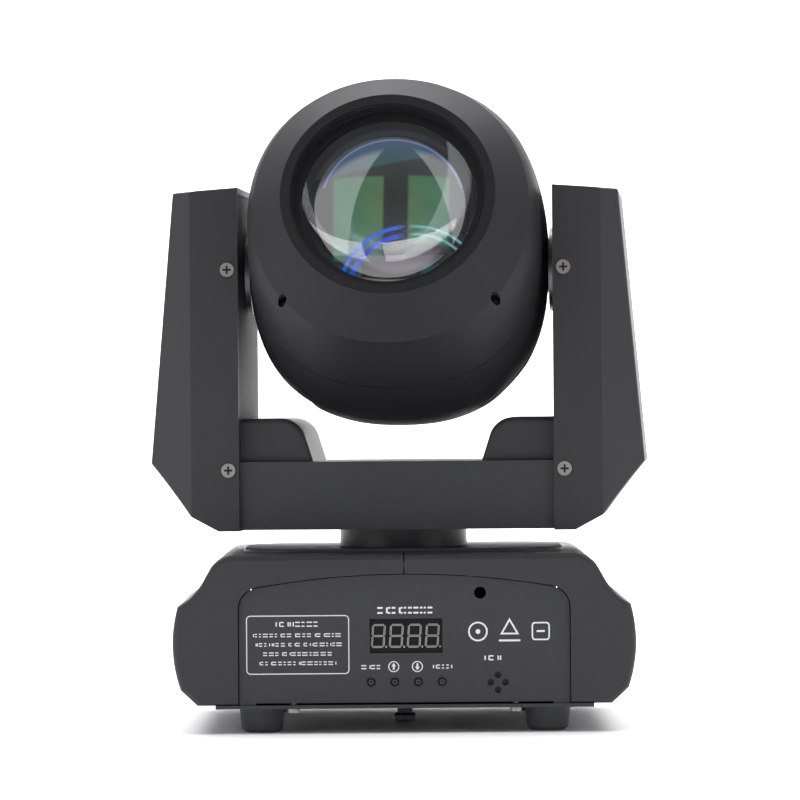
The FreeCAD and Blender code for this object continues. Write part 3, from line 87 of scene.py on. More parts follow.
HEAD = head_matrix()
YOKE = yoke_matrix()
HEAD_SHELLS = ("front_shell", "upper_shell", "lower_shell", "rear_grille")


def middle(node):
    """The centre of a CAD node's box."""
    low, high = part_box(node)
    return (Vector(low) + Vector(high)) / 2


def front_face():
    """The y of the front panel's outer face."""
    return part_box("front_panel")[0][1]


# ---------------------------------------------------------------- materials

class Signal:
    """A shader socket that can be used in sums; each operator adds one Math node."""

    def __init__(self, finish, socket):
        self.finish = finish
        self.socket = socket

    def _sum(self, operation, first, second):
        return self.finish.node("ShaderNodeMath", {"operation": operation}, {0: first, 1: second})

    def __add__(self, other):
        return self._sum("ADD", self, other)

    def __radd__(self, other):
        return self._sum("ADD", other, self)

    def __sub__(self, other):
        return self._sum("SUBTRACT", self, other)

    def __rsub__(self, other):
        return self._sum("SUBTRACT", other, self)

    def __mul__(self, other):
        return self._sum("MULTIPLY", self, other)

    def __rmul__(self, other):
        return self._sum("MULTIPLY", other, self)

    def __truediv__(self, other):
        return self._sum("DIVIDE", self, other)

    def __pow__(self, other):
        return self._sum("POWER", self, other)

    def __gt__(self, other):
        return self._sum("GREATER_THAN", self, other)

    def __lt__(self, other):
        return self._sum("LESS_THAN", self, other)

    def __abs__(self):
        return self.finish.node("ShaderNodeMath", {"operation": "ABSOLUTE"}, {0: self})


class Finish:
    """A material whose nodes are added one call at a time."""

    def __init__(self, name, **settings):
        self.material = bpy.data.materials.new(name)
        self.material.use_nodes = True
        self.tree = self.material.node_tree
        self.shader = self.tree.nodes["Principled BSDF"]
        for socket, value in settings.items():
            self.shader.inputs[socket.replace("_", " ")].default_value = value

    def node(self, kind, settings=None, values=None, output=0):
        """Adds a node, sets it up, feeds its sockets and returns one of its outputs."""
        made = self.tree.nodes.new(kind)
        for name, value in (settings or {}).items():
            if name == "stops":
                self._stops(made.color_ramp, value)
            else:
                setattr(made, name, value)
        for name, value in (values or {}).items():
            if isinstance(value, Signal):
                self.tree.links.new(value.socket, made.inputs[name])
            else:
                made.inputs[name].default_value = value
        return Signal(self, made.outputs[output])

    @staticmethod
    def _stops(ramp, stops):
        while len(ramp.elements) < len(stops):
            ramp.elements.new(0.5)
        for element, (position, colour) in zip(ramp.elements, stops):
            element.position = position
            element.color = (*colour, 1.0)

    def feed(self, socket, signal):
        """Links a signal to one of the shader's sockets."""
        self.tree.links.new(signal.socket, self.shader.inputs[socket])
        return self

    def place(self):
        """Coordinates that stay with the piece."""
        return self.node("ShaderNodeTexCoord", output="Object")

    def axes(self):
        """The three coordinates that stay with the piece, in metres."""
        parts = self.tree.nodes.new("ShaderNodeSeparateXYZ")
        self.tree.links.new(self.place().socket, parts.inputs[0])
        return [Signal(self, parts.outputs[name]) for name in "XYZ"]

    def noise(self, scale, detail=3.0, rough=0.55, stretch=None):
        """Noise of a number of lumps per metre, drawn out along the axes when stretch is given."""
        where = self.place()
        if stretch:
            where = self.node("ShaderNodeVectorMath", {"operation": "MULTIPLY"}, {0: where, 1: stretch})
        return self.node("ShaderNodeTexNoise", {}, {"Vector": where, "Scale": scale, "Detail": detail,
                                                    "Roughness": rough})

    def cells(self, scale, feature="F1"):
        """Distance to the nearest cell centre, for grains and hammered faces."""
        return self.node("ShaderNodeTexVoronoi", {"feature": feature},
                         {"Vector": self.place(), "Scale": scale})

    def blend(self, factor, first, second):
        """A colour between two others."""
        return self.node("ShaderNodeMix", {"data_type": "RGBA"}, {"Factor": factor, 6: colour(first),
                                                                  7: colour(second)}, output=2)

    def range(self, signal, low, high, to_low=0.0, to_high=1.0):
        """A value moved from one range to another and held inside it."""
        return self.node("ShaderNodeMapRange", {}, {"Value": signal, "From Min": low, "From Max": high,
                                                    "To Min": to_low, "To Max": to_high})

    def bump(self, height, strength, distance=0.0002):
        """Feeds the shader's normal from a height."""
        normal = self.node("ShaderNodeBump", {}, {"Height": height, "Strength": strength,
                                                  "Distance": distance})
        return self.feed("Normal", normal)


def colour(value):
    """A colour socket's value from three numbers, or a signal as it is."""
    return value if isinstance(value, Signal) else (*tuple(value)[:3], 1.0)


def shade(base, factor):
    """A colour made lighter or darker."""
    return tuple(min(1.0, part * factor) for part in tuple(base)[:3])


def moulded_plastic(name, base, roughness, grain=1500.0, depth=0.22, gloss=0.42):
    """Spark-eroded matt plastic: fine grain, slow drifts of tone and faint scuffs."""
    finish = Finish(name, Specular_IOR_Level=gloss)
    drift = finish.noise(9.0, 4.0)
    speck = finish.noise(grain * 1.6, 2.0)
    scuff = finish.range(finish.noise(60.0, 6.0, 0.7, (1.0, 1.0, 0.25)), 0.62, 0.75)
    tone = finish.blend(drift * 0.7 + speck * 0.3, shade(base, 0.84), shade(base, 1.18))
    finish.feed("Base Color", finish.blend(scuff * 0.10, tone, shade(base, 2.0)))
    finish.feed("Roughness", roughness - 0.05 + drift * 0.1 - scuff * 0.05)
    return finish.bump(finish.noise(grain, 2.0) + finish.cells(grain * 0.55) * 0.5, depth, 0.00012).material


def powder_coat(name, base, roughness, grain=1100.0):
    """Powder-coated sheet: small rounded bumps with a slight sparkle."""
    finish = Finish(name, Metallic=0.25, Specular_IOR_Level=0.5)
    drift = finish.noise(14.0, 4.0)
    bumps = finish.cells(grain)
    tone = finish.blend(drift, shade(base, 0.88), shade(base, 1.14))
    finish.feed("Base Color", finish.blend(finish.range(bumps, 0.05, 0.5) * 0.35, shade(base, 1.35), tone))
    finish.feed("Roughness", roughness + bumps * 0.10 + drift * 0.05)
    return finish.bump(finish.noise(grain * 1.2, 2.0) + bumps, 0.30, 0.00015).material


def brushed_metal(name, base, roughness, stretch=(1.0, 1.0, 40.0), scale=160.0):
    """Metal with fine drawn lines along one direction."""
    finish = Finish(name, Metallic=1.0)
    lines = finish.noise(scale, 4.0, 0.6, stretch)
    stain = finish.noise(30.0, 4.0)
    tone = finish.blend(lines, shade(base, 0.78), shade(base, 1.15))
    finish.feed("Base Color", finish.blend(stain * 0.25, tone, shade(base, 0.7)))
    finish.feed("Roughness", roughness + lines * 0.14 + stain * 0.06)
    return finish.bump(lines, 0.12, 0.00005).material


def turned_metal(name, base, roughness, axis):
    """Lathe-turned metal: rings round an axis of the piece."""
    finish = Finish(name, Metallic=1.0)
    rings = finish.noise(900.0, 2.0, 0.5, tuple(6.0 if spot == axis else 0.05 for spot in range(3)))
    tone = finish.blend(rings, shade(base, 0.75), shade(base, 1.2))
    finish.feed("Base Color", tone)
    finish.feed("Roughness", roughness + rings * 0.15)
    return finish.bump(rings, 0.1, 0.00004).material


def rubber(name, base):
    """Soft black rubber with bloom and a dusty lower rim."""
    finish = Finish(name, Specular_IOR_Level=0.3)
    height = finish.axes()[2]
    bloom = finish.noise(220.0, 5.0)
    dust = finish.range(height, 0.0, 0.003, 1.0, 0.0)
    tone = finish.blend(bloom, shade(base, 0.75), shade(base, 1.35))
    finish.feed("Base Color", finish.blend(dust * bloom * 0.5, tone, (0.12, 0.115, 0.105)))
    finish.feed("Roughness", 0.62 + bloom * 0.22)
    return finish.bump(finish.noise(1800.0, 3.0), 0.2, 0.0001).material


def gloss_plastic(name, base, roughness=0.16):
    """Polished black plastic with faint swirl marks and dust."""
    finish = Finish(name, Coat_Weight=0.35, Coat_Roughness=0.08)
    swirl = finish.noise(700.0, 3.0, 0.5, (1.0, 0.2, 1.0))
    dust = finish.range(finish.noise(2600.0, 2.0), 0.68, 0.75)
    finish.feed("Base Color", finish.blend(dust * 0.3 + swirl * 0.05, base, (0.16, 0.16, 0.15)))
    finish.feed("Roughness", roughness + swirl * 0.08 + dust * 0.3)
    return finish.bump(swirl, 0.04, 0.00005).material


def dull_window(name, base):
    """The smoked filter over the digits: black, with a soft sheen and fine dust."""
    finish = Finish(name, Specular_IOR_Level=0.18)
    film = finish.noise(900.0, 3.0)
    dust = finish.range(finish.noise(3600.0, 2.0), 0.70, 0.76)
    finish.feed("Base Color", finish.blend(dust * 0.25, finish.blend(film, base, shade(base, 1.6)),
                                           (0.10, 0.10, 0.10)))
    finish.feed("Roughness", 0.35 + film * 0.15)
    return finish.bump(film, 0.03, 0.00005).material


def circuit_board(name, base):
    """Solder mask with copper traces under it and tinned pads."""
    finish = Finish(name, Specular_IOR_Level=0.5)
    trace = finish.node("ShaderNodeTexBrick", {"offset": 0.4}, {
        "Vector": finish.place(), "Scale": 160.0, "Mortar Size": 0.06, "Color1": (0, 0, 0, 1),
        "Color2": (0, 0, 0, 1), "Mortar": (1, 1, 1, 1)}, output="Color")
    pads = finish.cells(320.0) < 0.16
    mask = finish.blend(trace, base, shade(base, 1.9))
    finish.feed("Base Color", finish.blend(pads, mask, (0.62, 0.6, 0.55)))
    finish.feed("Roughness", 0.34 + finish.noise(300.0) * 0.15)
    finish.feed("Metallic", pads * 0.8)
    return finish.bump(pads, 0.2, 0.0001).material


def perforated_metal(name, base):
    """Zinc-plated sheet with rows of round vent holes, painted as dark discs of shade; no holes are cut."""
    finish = Finish(name, Metallic=0.9)
    holes = finish.range(finish.cells(230.0), 0.16, 0.2)
    spangle = finish.cells(90.0, "SMOOTH_F1")
    tone = finish.blend(spangle, shade(base, 0.8), shade(base, 1.1))
    # The dark discs are painted shade standing in for the open holes.
    finish.feed("Base Color", finish.blend(holes, (0.02, 0.02, 0.02), tone))
    finish.feed("Roughness", 0.35 + spangle * 0.2)
    return finish.bump(holes, 0.35, 0.0003).material


def printed_ink(name, base):
    """Screen-printed ink with small pinholes and a slightly uneven film."""
    finish = Finish(name, Specular_IOR_Level=0.35)
    film = finish.noise(1600.0, 3.0)
    pinholes = finish.range(finish.noise(5200.0, 2.0), 0.70, 0.76)
    finish.feed("Base Color", finish.blend(pinholes * 0.6, finish.blend(film, shade(base, 0.9), base),
                                           (0.2, 0.2, 0.2)))
    finish.feed("Roughness", 0.42 + film * 0.15)
    return finish.bump(film, 0.1, 0.00005).material


def lens_glass(name, tint):
    """Clear optical glass with a thin coating and a few dust specks."""
    finish = Finish(name, Transmission_Weight=1.0, IOR=1.5, Coat_Weight=1.0, Coat_IOR=1.85,
                    Coat_Roughness=0.015)
    dust = finish.range(finish.noise(1500.0, 2.0), 0.72, 0.78)
    finish.feed("Base Color", finish.blend(dust * 0.2, tint, (0.75, 0.77, 0.78)))
    finish.feed("Roughness", finish.range(finish.noise(40.0, 3.0), 0.3, 0.8, 0.0, 0.012) + dust * 0.05)
    return finish.material


def finned_aluminium(name, base):
    """Extruded aluminium with die lines along the fins."""
    return brushed_metal(name, base, 0.28, (30.0, 30.0, 1.0), 120.0)


def painted_reflection_optic(name, size):
    """The dichroic-coated lens behind the front lens, painted with its reflections, which glow by emission:
    green and teal fields, a dark cross and bright arcs.
    """
    finish = Finish(name, Roughness=0.35, Emission_Strength=0.85)
    parts = finish.axes()
    across = parts[0] / size - 0.03
    up = parts[2] / size
    wave = finish.noise(70.0, 3.0)

    def band(signal, low, high, soft=0.015):
        rise = finish.range(signal, low - soft, low + soft)
        return rise * finish.range(signal, high - soft, high + soft, 1.0, 0.0)

    def ring(x, y, radius, width, soft=0.012):
        reach = ((across - x) ** 2.0 + (up - y) ** 2.0) ** 0.5
        return finish.range(abs(reach - radius), width, width + soft, 1.0, 0.0)

    # Painted reflections from here on: a dark middle, green panes to the sides, a teal cap, and blue, cyan and
    # pale arcs.
    disc = (across ** 2.0 + (up + 0.03) ** 2.0) ** 0.5
    tone = finish.blend(wave, (0.0035, 0.0035, 0.0050), (0.0085, 0.0085, 0.0110))
    glow = finish.range(disc, 0.05, 0.55)
    field = finish.blend(glow, (0.110, 0.200, 0.070), (0.020, 0.165, 0.085))
    panes = band(across, -0.62, -0.09) * band(up, -0.62, 0.29)
    panes = panes + band(across, 0.17, 0.60) * band(up, -0.46, 0.30)
    panes = panes * (0.55 + wave * 0.7)
    tone = finish.blend(panes, tone, field)
    cap = finish.range(disc, 0.735, 0.755, 1.0, 0.0) * finish.range(up - across * 0.22, 0.43, 0.46)
    teal = finish.blend(finish.range(disc, 0.45, 0.75), (0.004, 0.085, 0.080), (0.004, 0.060, 0.150))
    tone = finish.blend(cap * (0.5 + wave * 0.8), tone, teal)
    tone = finish.blend(ring(0.0, -0.03, 0.762, 0.006) * (up > 0.2), tone, (0.10, 0.19, 0.46))
    tone = finish.blend(ring(0.0, -0.03, 0.86, 0.020, 0.03) * (up > 0.3) * 0.5, tone, (0.04, 0.045, 0.055))
    low = band(up, -0.95, -0.50, 0.05)
    tone = finish.blend(ring(0.05, -0.18, 0.50, 0.055, 0.05) * low * 0.45, tone, (0.30, 0.22, 0.29))
    tone = finish.blend(band(up + abs(across) * 0.15, -0.78, -0.60, 0.04) * (abs(across) > 0.32) * 0.6, tone,
                        (0.004, 0.10, 0.12))
    left = band(across, -0.64, 0.10, 0.05) * (up < -0.1)
    for radius, width, ink in ((0.785, 0.014, (0.008, 0.12, 0.85)), (0.690, 0.020, (0.004, 0.07, 0.72))):
        tone = finish.blend(ring(0.20, -1.06, radius, width) * left, tone, ink)
    right = band(across, 0.21, 0.78, 0.04) * (up < -0.1)
    for radius, width in ((0.790, 0.008), (0.705, 0.007)):
        tone = finish.blend(ring(0.27, -1.06, radius, width) * right, tone, (0.16, 0.46, 0.50))
    tone = finish.blend(ring(0.05, 1.6, 2.46, 0.012, 0.02) * band(across, -0.36, 0.50, 0.06) * 0.7, tone,
                        (0.33, 0.31, 0.24))
    # The painted reflections go darkened into the base colour and whole into the emission, which makes them
    # glow.
    finish.feed("Base Color", finish.blend(0.8, tone, (0.0, 0.0, 0.0)))
    finish.feed("Emission Color", tone)
    return finish.material


def segment_face(name):
    """The unlit bars of the digits: pale grey diffuser with a faint line down the middle."""
    finish = Finish(name, Specular_IOR_Level=0.3)
    film = finish.noise(2400.0, 2.0)
    finish.feed("Base Color", finish.blend(film, (0.27, 0.27, 0.24), (0.40, 0.40, 0.36)))
    finish.feed("Roughness", 0.4 + film * 0.2)
    return finish.material


# ---------------------------------------------------------------- mesh building

def new_piece(name, mesh, material, body, matrix=Matrix()):
    """A finished object from a bmesh: given its material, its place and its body."""
    bmesh.ops.recalc_face_normals(mesh, faces=mesh.faces)
    data = bpy.data.meshes.new(name)
    mesh.to_mesh(data)
    mesh.free()
    data.materials.append(material)
    piece = bpy.data.objects.new(name, data)
    bpy.context.scene.collection.objects.link(piece)
    piece.matrix_world = matrix
    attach(piece, body)
    return piece


def smooth(piece, angle=35.0):
    """Smooth shading that keeps edges sharper than an angle."""
    for face in piece.data.polygons:
        face.use_smooth = True
    piece.data.set_sharp_from_angle(angle=math.radians(angle))
    return piece


def prism(mesh, outline, depth, matrix=Matrix()):
    """An outline in the local xy plane made solid from z = 0 to z = depth."""
    low = [mesh.verts.new(matrix @ Vector((x, y, 0.0))) for x, y in outline]
    high = [mesh.verts.new(matrix @ Vector((x, y, depth))) for x, y in outline]
    mesh.faces.new(low[::-1])
    mesh.faces.new(high)
    for here in range(len(outline)):
        after = (here + 1) % len(outline)
        mesh.faces.new((low[here], low[after], high[after], high[here]))


def frame_prism(mesh, outer, inner, depth, matrix=Matrix()):
    """The band between two outlines of equal length, made solid."""
    rings = [[mesh.verts.new(matrix @ Vector((x, y, z))) for x, y in outline]
             for outline, z in ((outer, 0.0), (outer, depth), (inner, depth), (inner, 0.0))]
    for first, second in zip(rings, rings[1:] + rings[:1]):
        for here in range(len(outer)):
            after = (here + 1) % len(outer)
            mesh.faces.new((first[here], first[after], second[after], second[here]))


def lathe(mesh, profile, steps=48, matrix=Matrix()):
    """A profile of (radius, height) points turned round the local z axis; radius 0 closes an end."""
    rings = []
    for radius, height in profile:
        count = 1 if radius == 0 else steps
        rings.append([mesh.verts.new(matrix @ Vector((radius * math.cos(2 * math.pi * step / steps),
                                                      radius * math.sin(2 * math.pi * step / steps), height)))
                      for step in range(count)])
    for first, second in zip(rings, rings[1:]):
        for step in range(steps):
            after = (step + 1) % steps
            corners = [first[step % len(first)], first[after % len(first)],
                       second[after % len(second)], second[step % len(second)]]
            corners = list(dict.fromkeys(corners))
            mesh.faces.new(corners)


def rounded_box(width, height, radius, steps=6):
    """The outline of a rectangle with round corners, centred on the origin."""
    points = []
    for quarter, (across, up) in enumerate(((1, 1), (-1, 1), (-1, -1), (1, -1))):
        for step in range(steps + 1):
            angle = math.pi / 2 * (quarter + step / steps)
            points.append((across * (width / 2 - radius) + radius * math.cos(angle),
                           up * (height / 2 - radius) + radius * math.sin(angle)))
    return points


def circle(radius, steps=32):
    """The outline of a circle."""
    return [(radius * math.cos(2 * math.pi * step / steps), radius * math.sin(2 * math.pi * step / steps))
            for step in range(steps)]


def facing(x, y, z, direction=-1):
    """Local axes whose z points out of the front (-1) or rear (+1) panel, x to the viewer's right."""
    turn = Matrix.Rotation(math.pi / 2, 4, "X")
    if direction > 0:
        turn = Matrix.Rotation(math.pi, 4, "Z") @ turn
    return Matrix.Translation((x, y, z)) @ turn


def pan_head_screw(mesh, matrix, radius, height):
    """A domed screw head with a cross sunk into it."""
    steps = 32
    profile = [(radius, 0.0), (radius, height * 0.35), (radius * 0.86, height * 0.75), (radius * 0.6, height)]
    crown = [(radius * 0.58, height * 0.98), (0.0, height * 0.98)]
    lathe(mesh, [(0.0, 0.0)] + profile + crown, steps, matrix)
    for turn in (0, 90):
        lift = Matrix.Translation((0, 0, height * 0.96))
        spin = matrix @ lift @ Matrix.Rotation(math.radians(turn), 4, "Z")
        prism(mesh, rounded_box(radius * 1.05, radius * 0.2, radius * 0.05, 2), height * 0.08, spin)


# ---------------------------------------------------------------- settings

class LightFinishes(bpy.types.PropertyGroup):
    """Colours and roughness of the housings."""

    shell: FloatVectorProperty(name="Shell colour", description="Moulded covers and head shells",
                               default=(0.0235, 0.0238, 0.0270), subtype="COLOR", size=3, min=0, max=1)
    panel: FloatVectorProperty(name="Panel colour", description="Powder-coated sheet metal",
                               default=(0.0275, 0.0280, 0.0312), subtype="COLOR", size=3, min=0, max=1)
    inner: FloatVectorProperty(name="Arm plate colour", description="Inner plates of the arms",
                               default=(0.026, 0.0265, 0.029), subtype="COLOR", size=3, min=0, max=1)
    ink: FloatVectorProperty(name="Ink colour", description="Prints on the front panel",
                             default=(0.78, 0.78, 0.77), subtype="COLOR", size=3, min=0, max=1)
    shell_roughness: FloatProperty(name="Shell roughness", description="How matt the covers are",
                                   default=0.46, min=0, max=1, subtype="FACTOR")


class LightPrints(bpy.types.PropertyGroup):
    """Sizes of the prints and the digits."""

    film: FloatProperty(name="Ink film", description="Thickness of the printed film", default=0.04 * MM,
                        unit="LENGTH", precision=5)
    label_width: FloatProperty(name="Label width", description="Outlined label, across", default=43.0 * MM,
                               unit="LENGTH")
    label_height: FloatProperty(name="Label height", description="Outlined label, up", default=24.6 * MM,
                                unit="LENGTH")
    digits: IntProperty(name="Digits", description="Digits of the display", default=4, min=1, max=8)
    digit_height: FloatProperty(name="Digit height", description="Height of one digit", default=9.14 * MM,
                                unit="LENGTH")
    digit_pitch: FloatProperty(name="Digit pitch", description="Distance between digits", default=7.5 * MM,
                               unit="LENGTH")


class LightOptics(bpy.types.PropertyGroup):
    """The coated lens and the ridges of the tunnel, measured forward from the tilt axis."""

    radius: FloatProperty(name="Coated lens radius", description="Half the width of the coated lens",
                          default=37.2 * MM, unit="LENGTH")
    reach: FloatProperty(name="Coated lens reach", description="Tilt axis to the front of the coated lens",
                         default=73.2 * MM, unit="LENGTH")
    bowl: FloatProperty(name="Coated lens depth", description="How far its rim lies behind its middle",
                        default=3.4 * MM, unit="LENGTH")
    seat: FloatProperty(name="Retainer reach", description="Tilt axis to the front of the lens retainer",
                        default=79.2 * MM, unit="LENGTH")


class LightStudio(bpy.types.PropertyGroup):
    """The camera."""

    distance: FloatProperty(name="Camera distance", description="From the front panel to the camera",
                            default=1.9, unit="LENGTH")
    height: FloatProperty(name="Camera height", description="Above the floor", default=0.139, unit="LENGTH")
    lens: FloatProperty(name="Lens", description="Focal length in millimetres", default=205.0, min=20)
    roll: FloatProperty(name="Camera roll", description="Turn about the line of sight",
                        default=math.radians(-0.45), subtype="ANGLE")


# ---------------------------------------------------------------- operators

class FinishHousings(bpy.types.Operator):
    """Give every CAD node the finish of its material slot, and the head shells a darker copy of the shell
    plastic as painted shade
    """

    bl_idname = "light.finish_housings"
    bl_label = "Finish the CAD nodes"

    def execute(self, context):
        tones = context.scene.light_finishes
        finishes = {
            "shell_plastic": moulded_plastic("shell_plastic", tones.shell, tones.shell_roughness),
            "panel_paint": powder_coat("panel_paint", tones.panel, 0.42),
            "plate_paint": powder_coat("plate_paint", tones.inner, 0.60, 1600.0),
            "hub_paint": moulded_plastic("hub_paint", (0.026, 0.026, 0.029), 0.34, 900.0, 0.12),
            "bearing_steel": brushed_metal("bearing_steel", (0.60, 0.60, 0.62), 0.22),
            "turned_aluminium": turned_metal("turned_aluminium", (0.22, 0.22, 0.235), 0.3, 0),
            "belt_rubber": rubber("belt_rubber", (0.02, 0.02, 0.02)),
            "foot_rubber": rubber("foot_rubber", (0.056, 0.057, 0.062)),
            "screw_steel": brushed_metal("screw_steel", (0.36, 0.345, 0.32), 0.3, (12.0, 1.0, 12.0), 500.0),
            "motor_steel": powder_coat("motor_steel", (0.03, 0.03, 0.033), 0.36),
            "board_green": circuit_board("board_green", (0.012, 0.09, 0.035)),
            "display_black": dull_window("display_black", (0.0035, 0.0035, 0.0045)),
            "button_plastic": moulded_plastic("button_plastic", (0.052, 0.052, 0.056), 0.35, 2600.0),
            "knob_plastic": moulded_plastic("knob_plastic", (0.0035, 0.0035, 0.004), 0.34, 1800.0, 0.12, 0.2),
            "capsule_metal": moulded_plastic("capsule_metal", (0.004, 0.012, 0.010), 0.5),
            "supply_metal": perforated_metal("supply_metal", (0.58, 0.59, 0.60)),
            "socket_plastic": gloss_plastic("socket_plastic", (0.014, 0.014, 0.016), 0.25),
            "socket_metal": brushed_metal("socket_metal", (0.07, 0.07, 0.075), 0.3),
            "frame_aluminium": brushed_metal("frame_aluminium", (0.55, 0.56, 0.58), 0.3),
            "sink_aluminium": finned_aluminium("sink_aluminium", (0.62, 0.63, 0.65)),
            "fan_plastic": moulded_plastic("fan_plastic", (0.02, 0.02, 0.022), 0.4, 1200.0),
            "wheel_metal": brushed_metal("wheel_metal", (0.10, 0.10, 0.105), 0.34),
            "lens_glass": lens_glass("lens_glass", (0.97, 0.985, 0.99)),
            "retainer_plastic": moulded_plastic("retainer_plastic", (0.009, 0.009, 0.010), 0.38, 1300.0),
        }
        # Painted shade: the head shells get a darker copy of the shell plastic.
        head_plastic_painted_shade = moulded_plastic("head_plastic_painted_shade", shade(tones.shell, 0.46), tones.shell_roughness + 0.06,
                                       gloss=0.24)
        for entry in frame["record"]["subparts"]:
            piece = frame["nodes"][entry["node"]]
            material = finishes[entry["material_slot"]]
            if entry["node"] in HEAD_SHELLS:
                material = head_plastic_painted_shade
            if not piece.data.materials:
                piece.data.materials.append(material)
            for spot in range(len(piece.data.materials)):
                piece.data.materials[spot] = material
        return {"FINISHED"}


class AddDigits(bpy.types.Operator):
    """Add the unlit digits of the display"""

    bl_idname = "light.add_digits"
    bl_label = "Display digits"

    def execute(self, context):
        sizes = context.scene.light_prints
        centre = middle("display_module")
        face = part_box("display_module")[0][1]
        mesh = bmesh.new()
        tall = sizes.digit_height
        wide = 0.54 * tall
        slant = math.tan(math.radians(4))
        bars = [(0, tall / 2, 0), (0, 0, 0), (0, -tall / 2, 0)]
        bars += [(across * wide / 2, up * tall / 4, 90) for across in (-1, 1) for up in (-1, 1)]
        shear = Matrix(((1, slant, 0, 0), (0, 1, 0, 0), (0, 0, 1, 0), (0, 0, 0, 1)))
        for digit in range(sizes.digits):
            x = centre.x + (digit - (sizes.digits - 1) / 2) * sizes.digit_pitch - 0.3 * MM
            place = facing(x, face, centre.z) @ shear
            for across, up, turn in bars:
                length = (wide if turn == 0 else tall / 2) - 0.35 * MM
                spin = Matrix.Rotation(math.radians(turn), 4, "Z")
                spot = place @ Matrix.Translation((across, up, 0)) @ spin
                frame_prism(mesh, self.bar(length, 0.78 * MM), self.bar(length - 0.62 * MM, 0.20 * MM),
                            0.05 * MM, spot)
            dot = place @ Matrix.Translation((wide / 2 + 1.1 * MM, -tall / 2, 0))
            prism(mesh, circle(0.42 * MM, 16), 0.05 * MM, dot)
        new_piece("display_digits", mesh, segment_face("digit_segments"), "base")
        return {"FINISHED"}

    @staticmethod
    def bar(length, width):
        """A bar with pointed ends."""
        tip = length / 2
        side = width / 2
        return [(tip, 0), (tip - side, side), (-tip + side, side), (-tip, 0), (-tip + side, -side),
                (tip - side, -side)]


class AddPanelPrints(bpy.types.Operator):
    """Add the ink on the front panel: label, marks, arrows and symbols, with no lettering"""

    bl_idname = "light.add_panel_prints"
    bl_label = "Panel prints"

    def execute(self, context):
        sizes = context.scene.light_prints
        ink = printed_ink("panel_ink", context.scene.light_finishes.ink)
        film = sizes.film
        dice = random.Random(4)
        display = middle("display_module")
        buttons = [middle(name) for name in ("button_menu", "button_up", "button_down", "button_enter")]
        mic = middle("mic_capsule")

        label = bmesh.new()
        spot = facing(display.x - 45.2 * MM, front_face(), display.z - 3.4 * MM)
        frame_prism(label, rounded_box(sizes.label_width, sizes.label_height, 1.8 * MM),
                    rounded_box(sizes.label_width - 0.8 * MM, sizes.label_height - 0.8 * MM, 1.4 * MM),
                    film, spot)
        self.marks(label, spot @ Matrix.Translation((0, 8.6 * MM, 0)), 19 * MM, 2.6 * MM, 0.5, dice, film)
        for row in range(4):
            reach = (38, 37, 29, 33)[row] * MM
            lift = spot @ Matrix.Translation((0, (4.0 - 3.9 * row) * MM, 0))
            self.marks(label, lift, reach, 1.7 * MM, 0.42, dice, film)
        new_piece("label_print", label, ink, "base")

        heading = bmesh.new()
        title = facing(display.x - 0.4 * MM, front_face(), display.z + 10.7 * MM)
        self.marks(heading, title, 23 * MM, 3.4 * MM, 0.75, dice, film)
        new_piece("display_heading", heading, ink, "base")

        legends = bmesh.new()
        for button, width in ((buttons[0], 8.2 * MM), (buttons[3], 9.2 * MM)):
            self.marks(legends, facing(button.x, front_face(), button.z + 6.3 * MM), width, 2.0 * MM, 0.5,
                       dice, film)
        for button, turn in ((buttons[1], 0), (buttons[2], 180)):
            spot = facing(button.x - 0.4 * MM, front_face(), button.z + 6.4 * MM)
            frame_prism(legends, circle(2.3 * MM), circle(1.9 * MM), film, spot)
            spin = spot @ Matrix.Rotation(math.radians(turn), 4, "Z")
            arrow = [(0, 1.5), (1.0, 0.1), (0.38, 0.1), (0.38, -1.3),
                     (-0.38, -1.3), (-0.38, 0.1), (-1.0, 0.1)]
            prism(legends, [(x * MM, y * MM) for x, y in arrow], film, spin)
        self.marks(legends, facing(mic.x - 2.2 * MM, front_face(), mic.z + 10.2 * MM), 8 * MM, 2.6 * MM, 0.6,
                   dice, film)
        new_piece("button_legends", legends, ink, "base")

        symbols = bmesh.new()
        self.symbols(symbols, display, film)
        new_piece("panel_symbols", symbols, ink, "base")
        return {"FINISHED"}

    @staticmethod
    def marks(mesh, place, reach, height, stroke, dice, film):
        """A row of short strokes of uneven width that fills the space of a printed word."""
        x = -reach / 2
        while x < reach / 2 - 0.5 * MM:
            width = min(dice.uniform(0.8, 2.4) * MM, reach / 2 - x)
            rows = dice.choice((1, 2, 2))
            for row in range(rows):
                drop = 0 if rows == 1 else (row - 0.5) * height * 0.62
                spot = place @ Matrix.Translation((x + width / 2, drop, 0))
                tall = stroke * MM if rows == 2 else height * 0.72
                slim = width if rows == 2 else stroke * MM
                prism(mesh, rounded_box(slim, tall, min(slim, tall) * 0.3, 2), film, spot)
            x += (width if rows == 2 else stroke * MM) + dice.uniform(0.5, 0.9) * MM

    @staticmethod
    def symbols(mesh, display, film):
        """Three plain signs: a ring with a dot, an open triangle over a bar and an open square."""
        y = front_face()
        ring = facing(display.x + 30.0 * MM, y, display.z + 1.6 * MM)
        frame_prism(mesh, circle(4.1 * MM, 48), circle(3.4 * MM, 48), film, ring)
        prism(mesh, circle(1.0 * MM, 24), film, ring)
        outline = [[(size * MM * math.sin(math.radians(turn)), size * MM * math.cos(math.radians(turn)))
                    for turn in (0, -120, -240)] for size in (4.6, 3.2)]
        frame_prism(mesh, outline[0], outline[1], film,
                    facing(display.x + 43.2 * MM, y, display.z + 2.6 * MM))
        prism(mesh, rounded_box(9.0 * MM, 0.8 * MM, 0.2 * MM, 2), film,
              facing(display.x + 43.2 * MM, y, display.z - 2.2 * MM))
        spot = facing(display.x + 56.2 * MM, y, display.z + 1.6 * MM)
        frame_prism(mesh, rounded_box(7.6 * MM, 7.6 * MM, 1.4 * MM, 3),
                    rounded_box(6.4 * MM, 6.4 * MM, 0.9 * MM, 3), film, spot)
        prism(mesh, rounded_box(3.4 * MM, 0.8 * MM, 0.2 * MM, 2), film, spot)


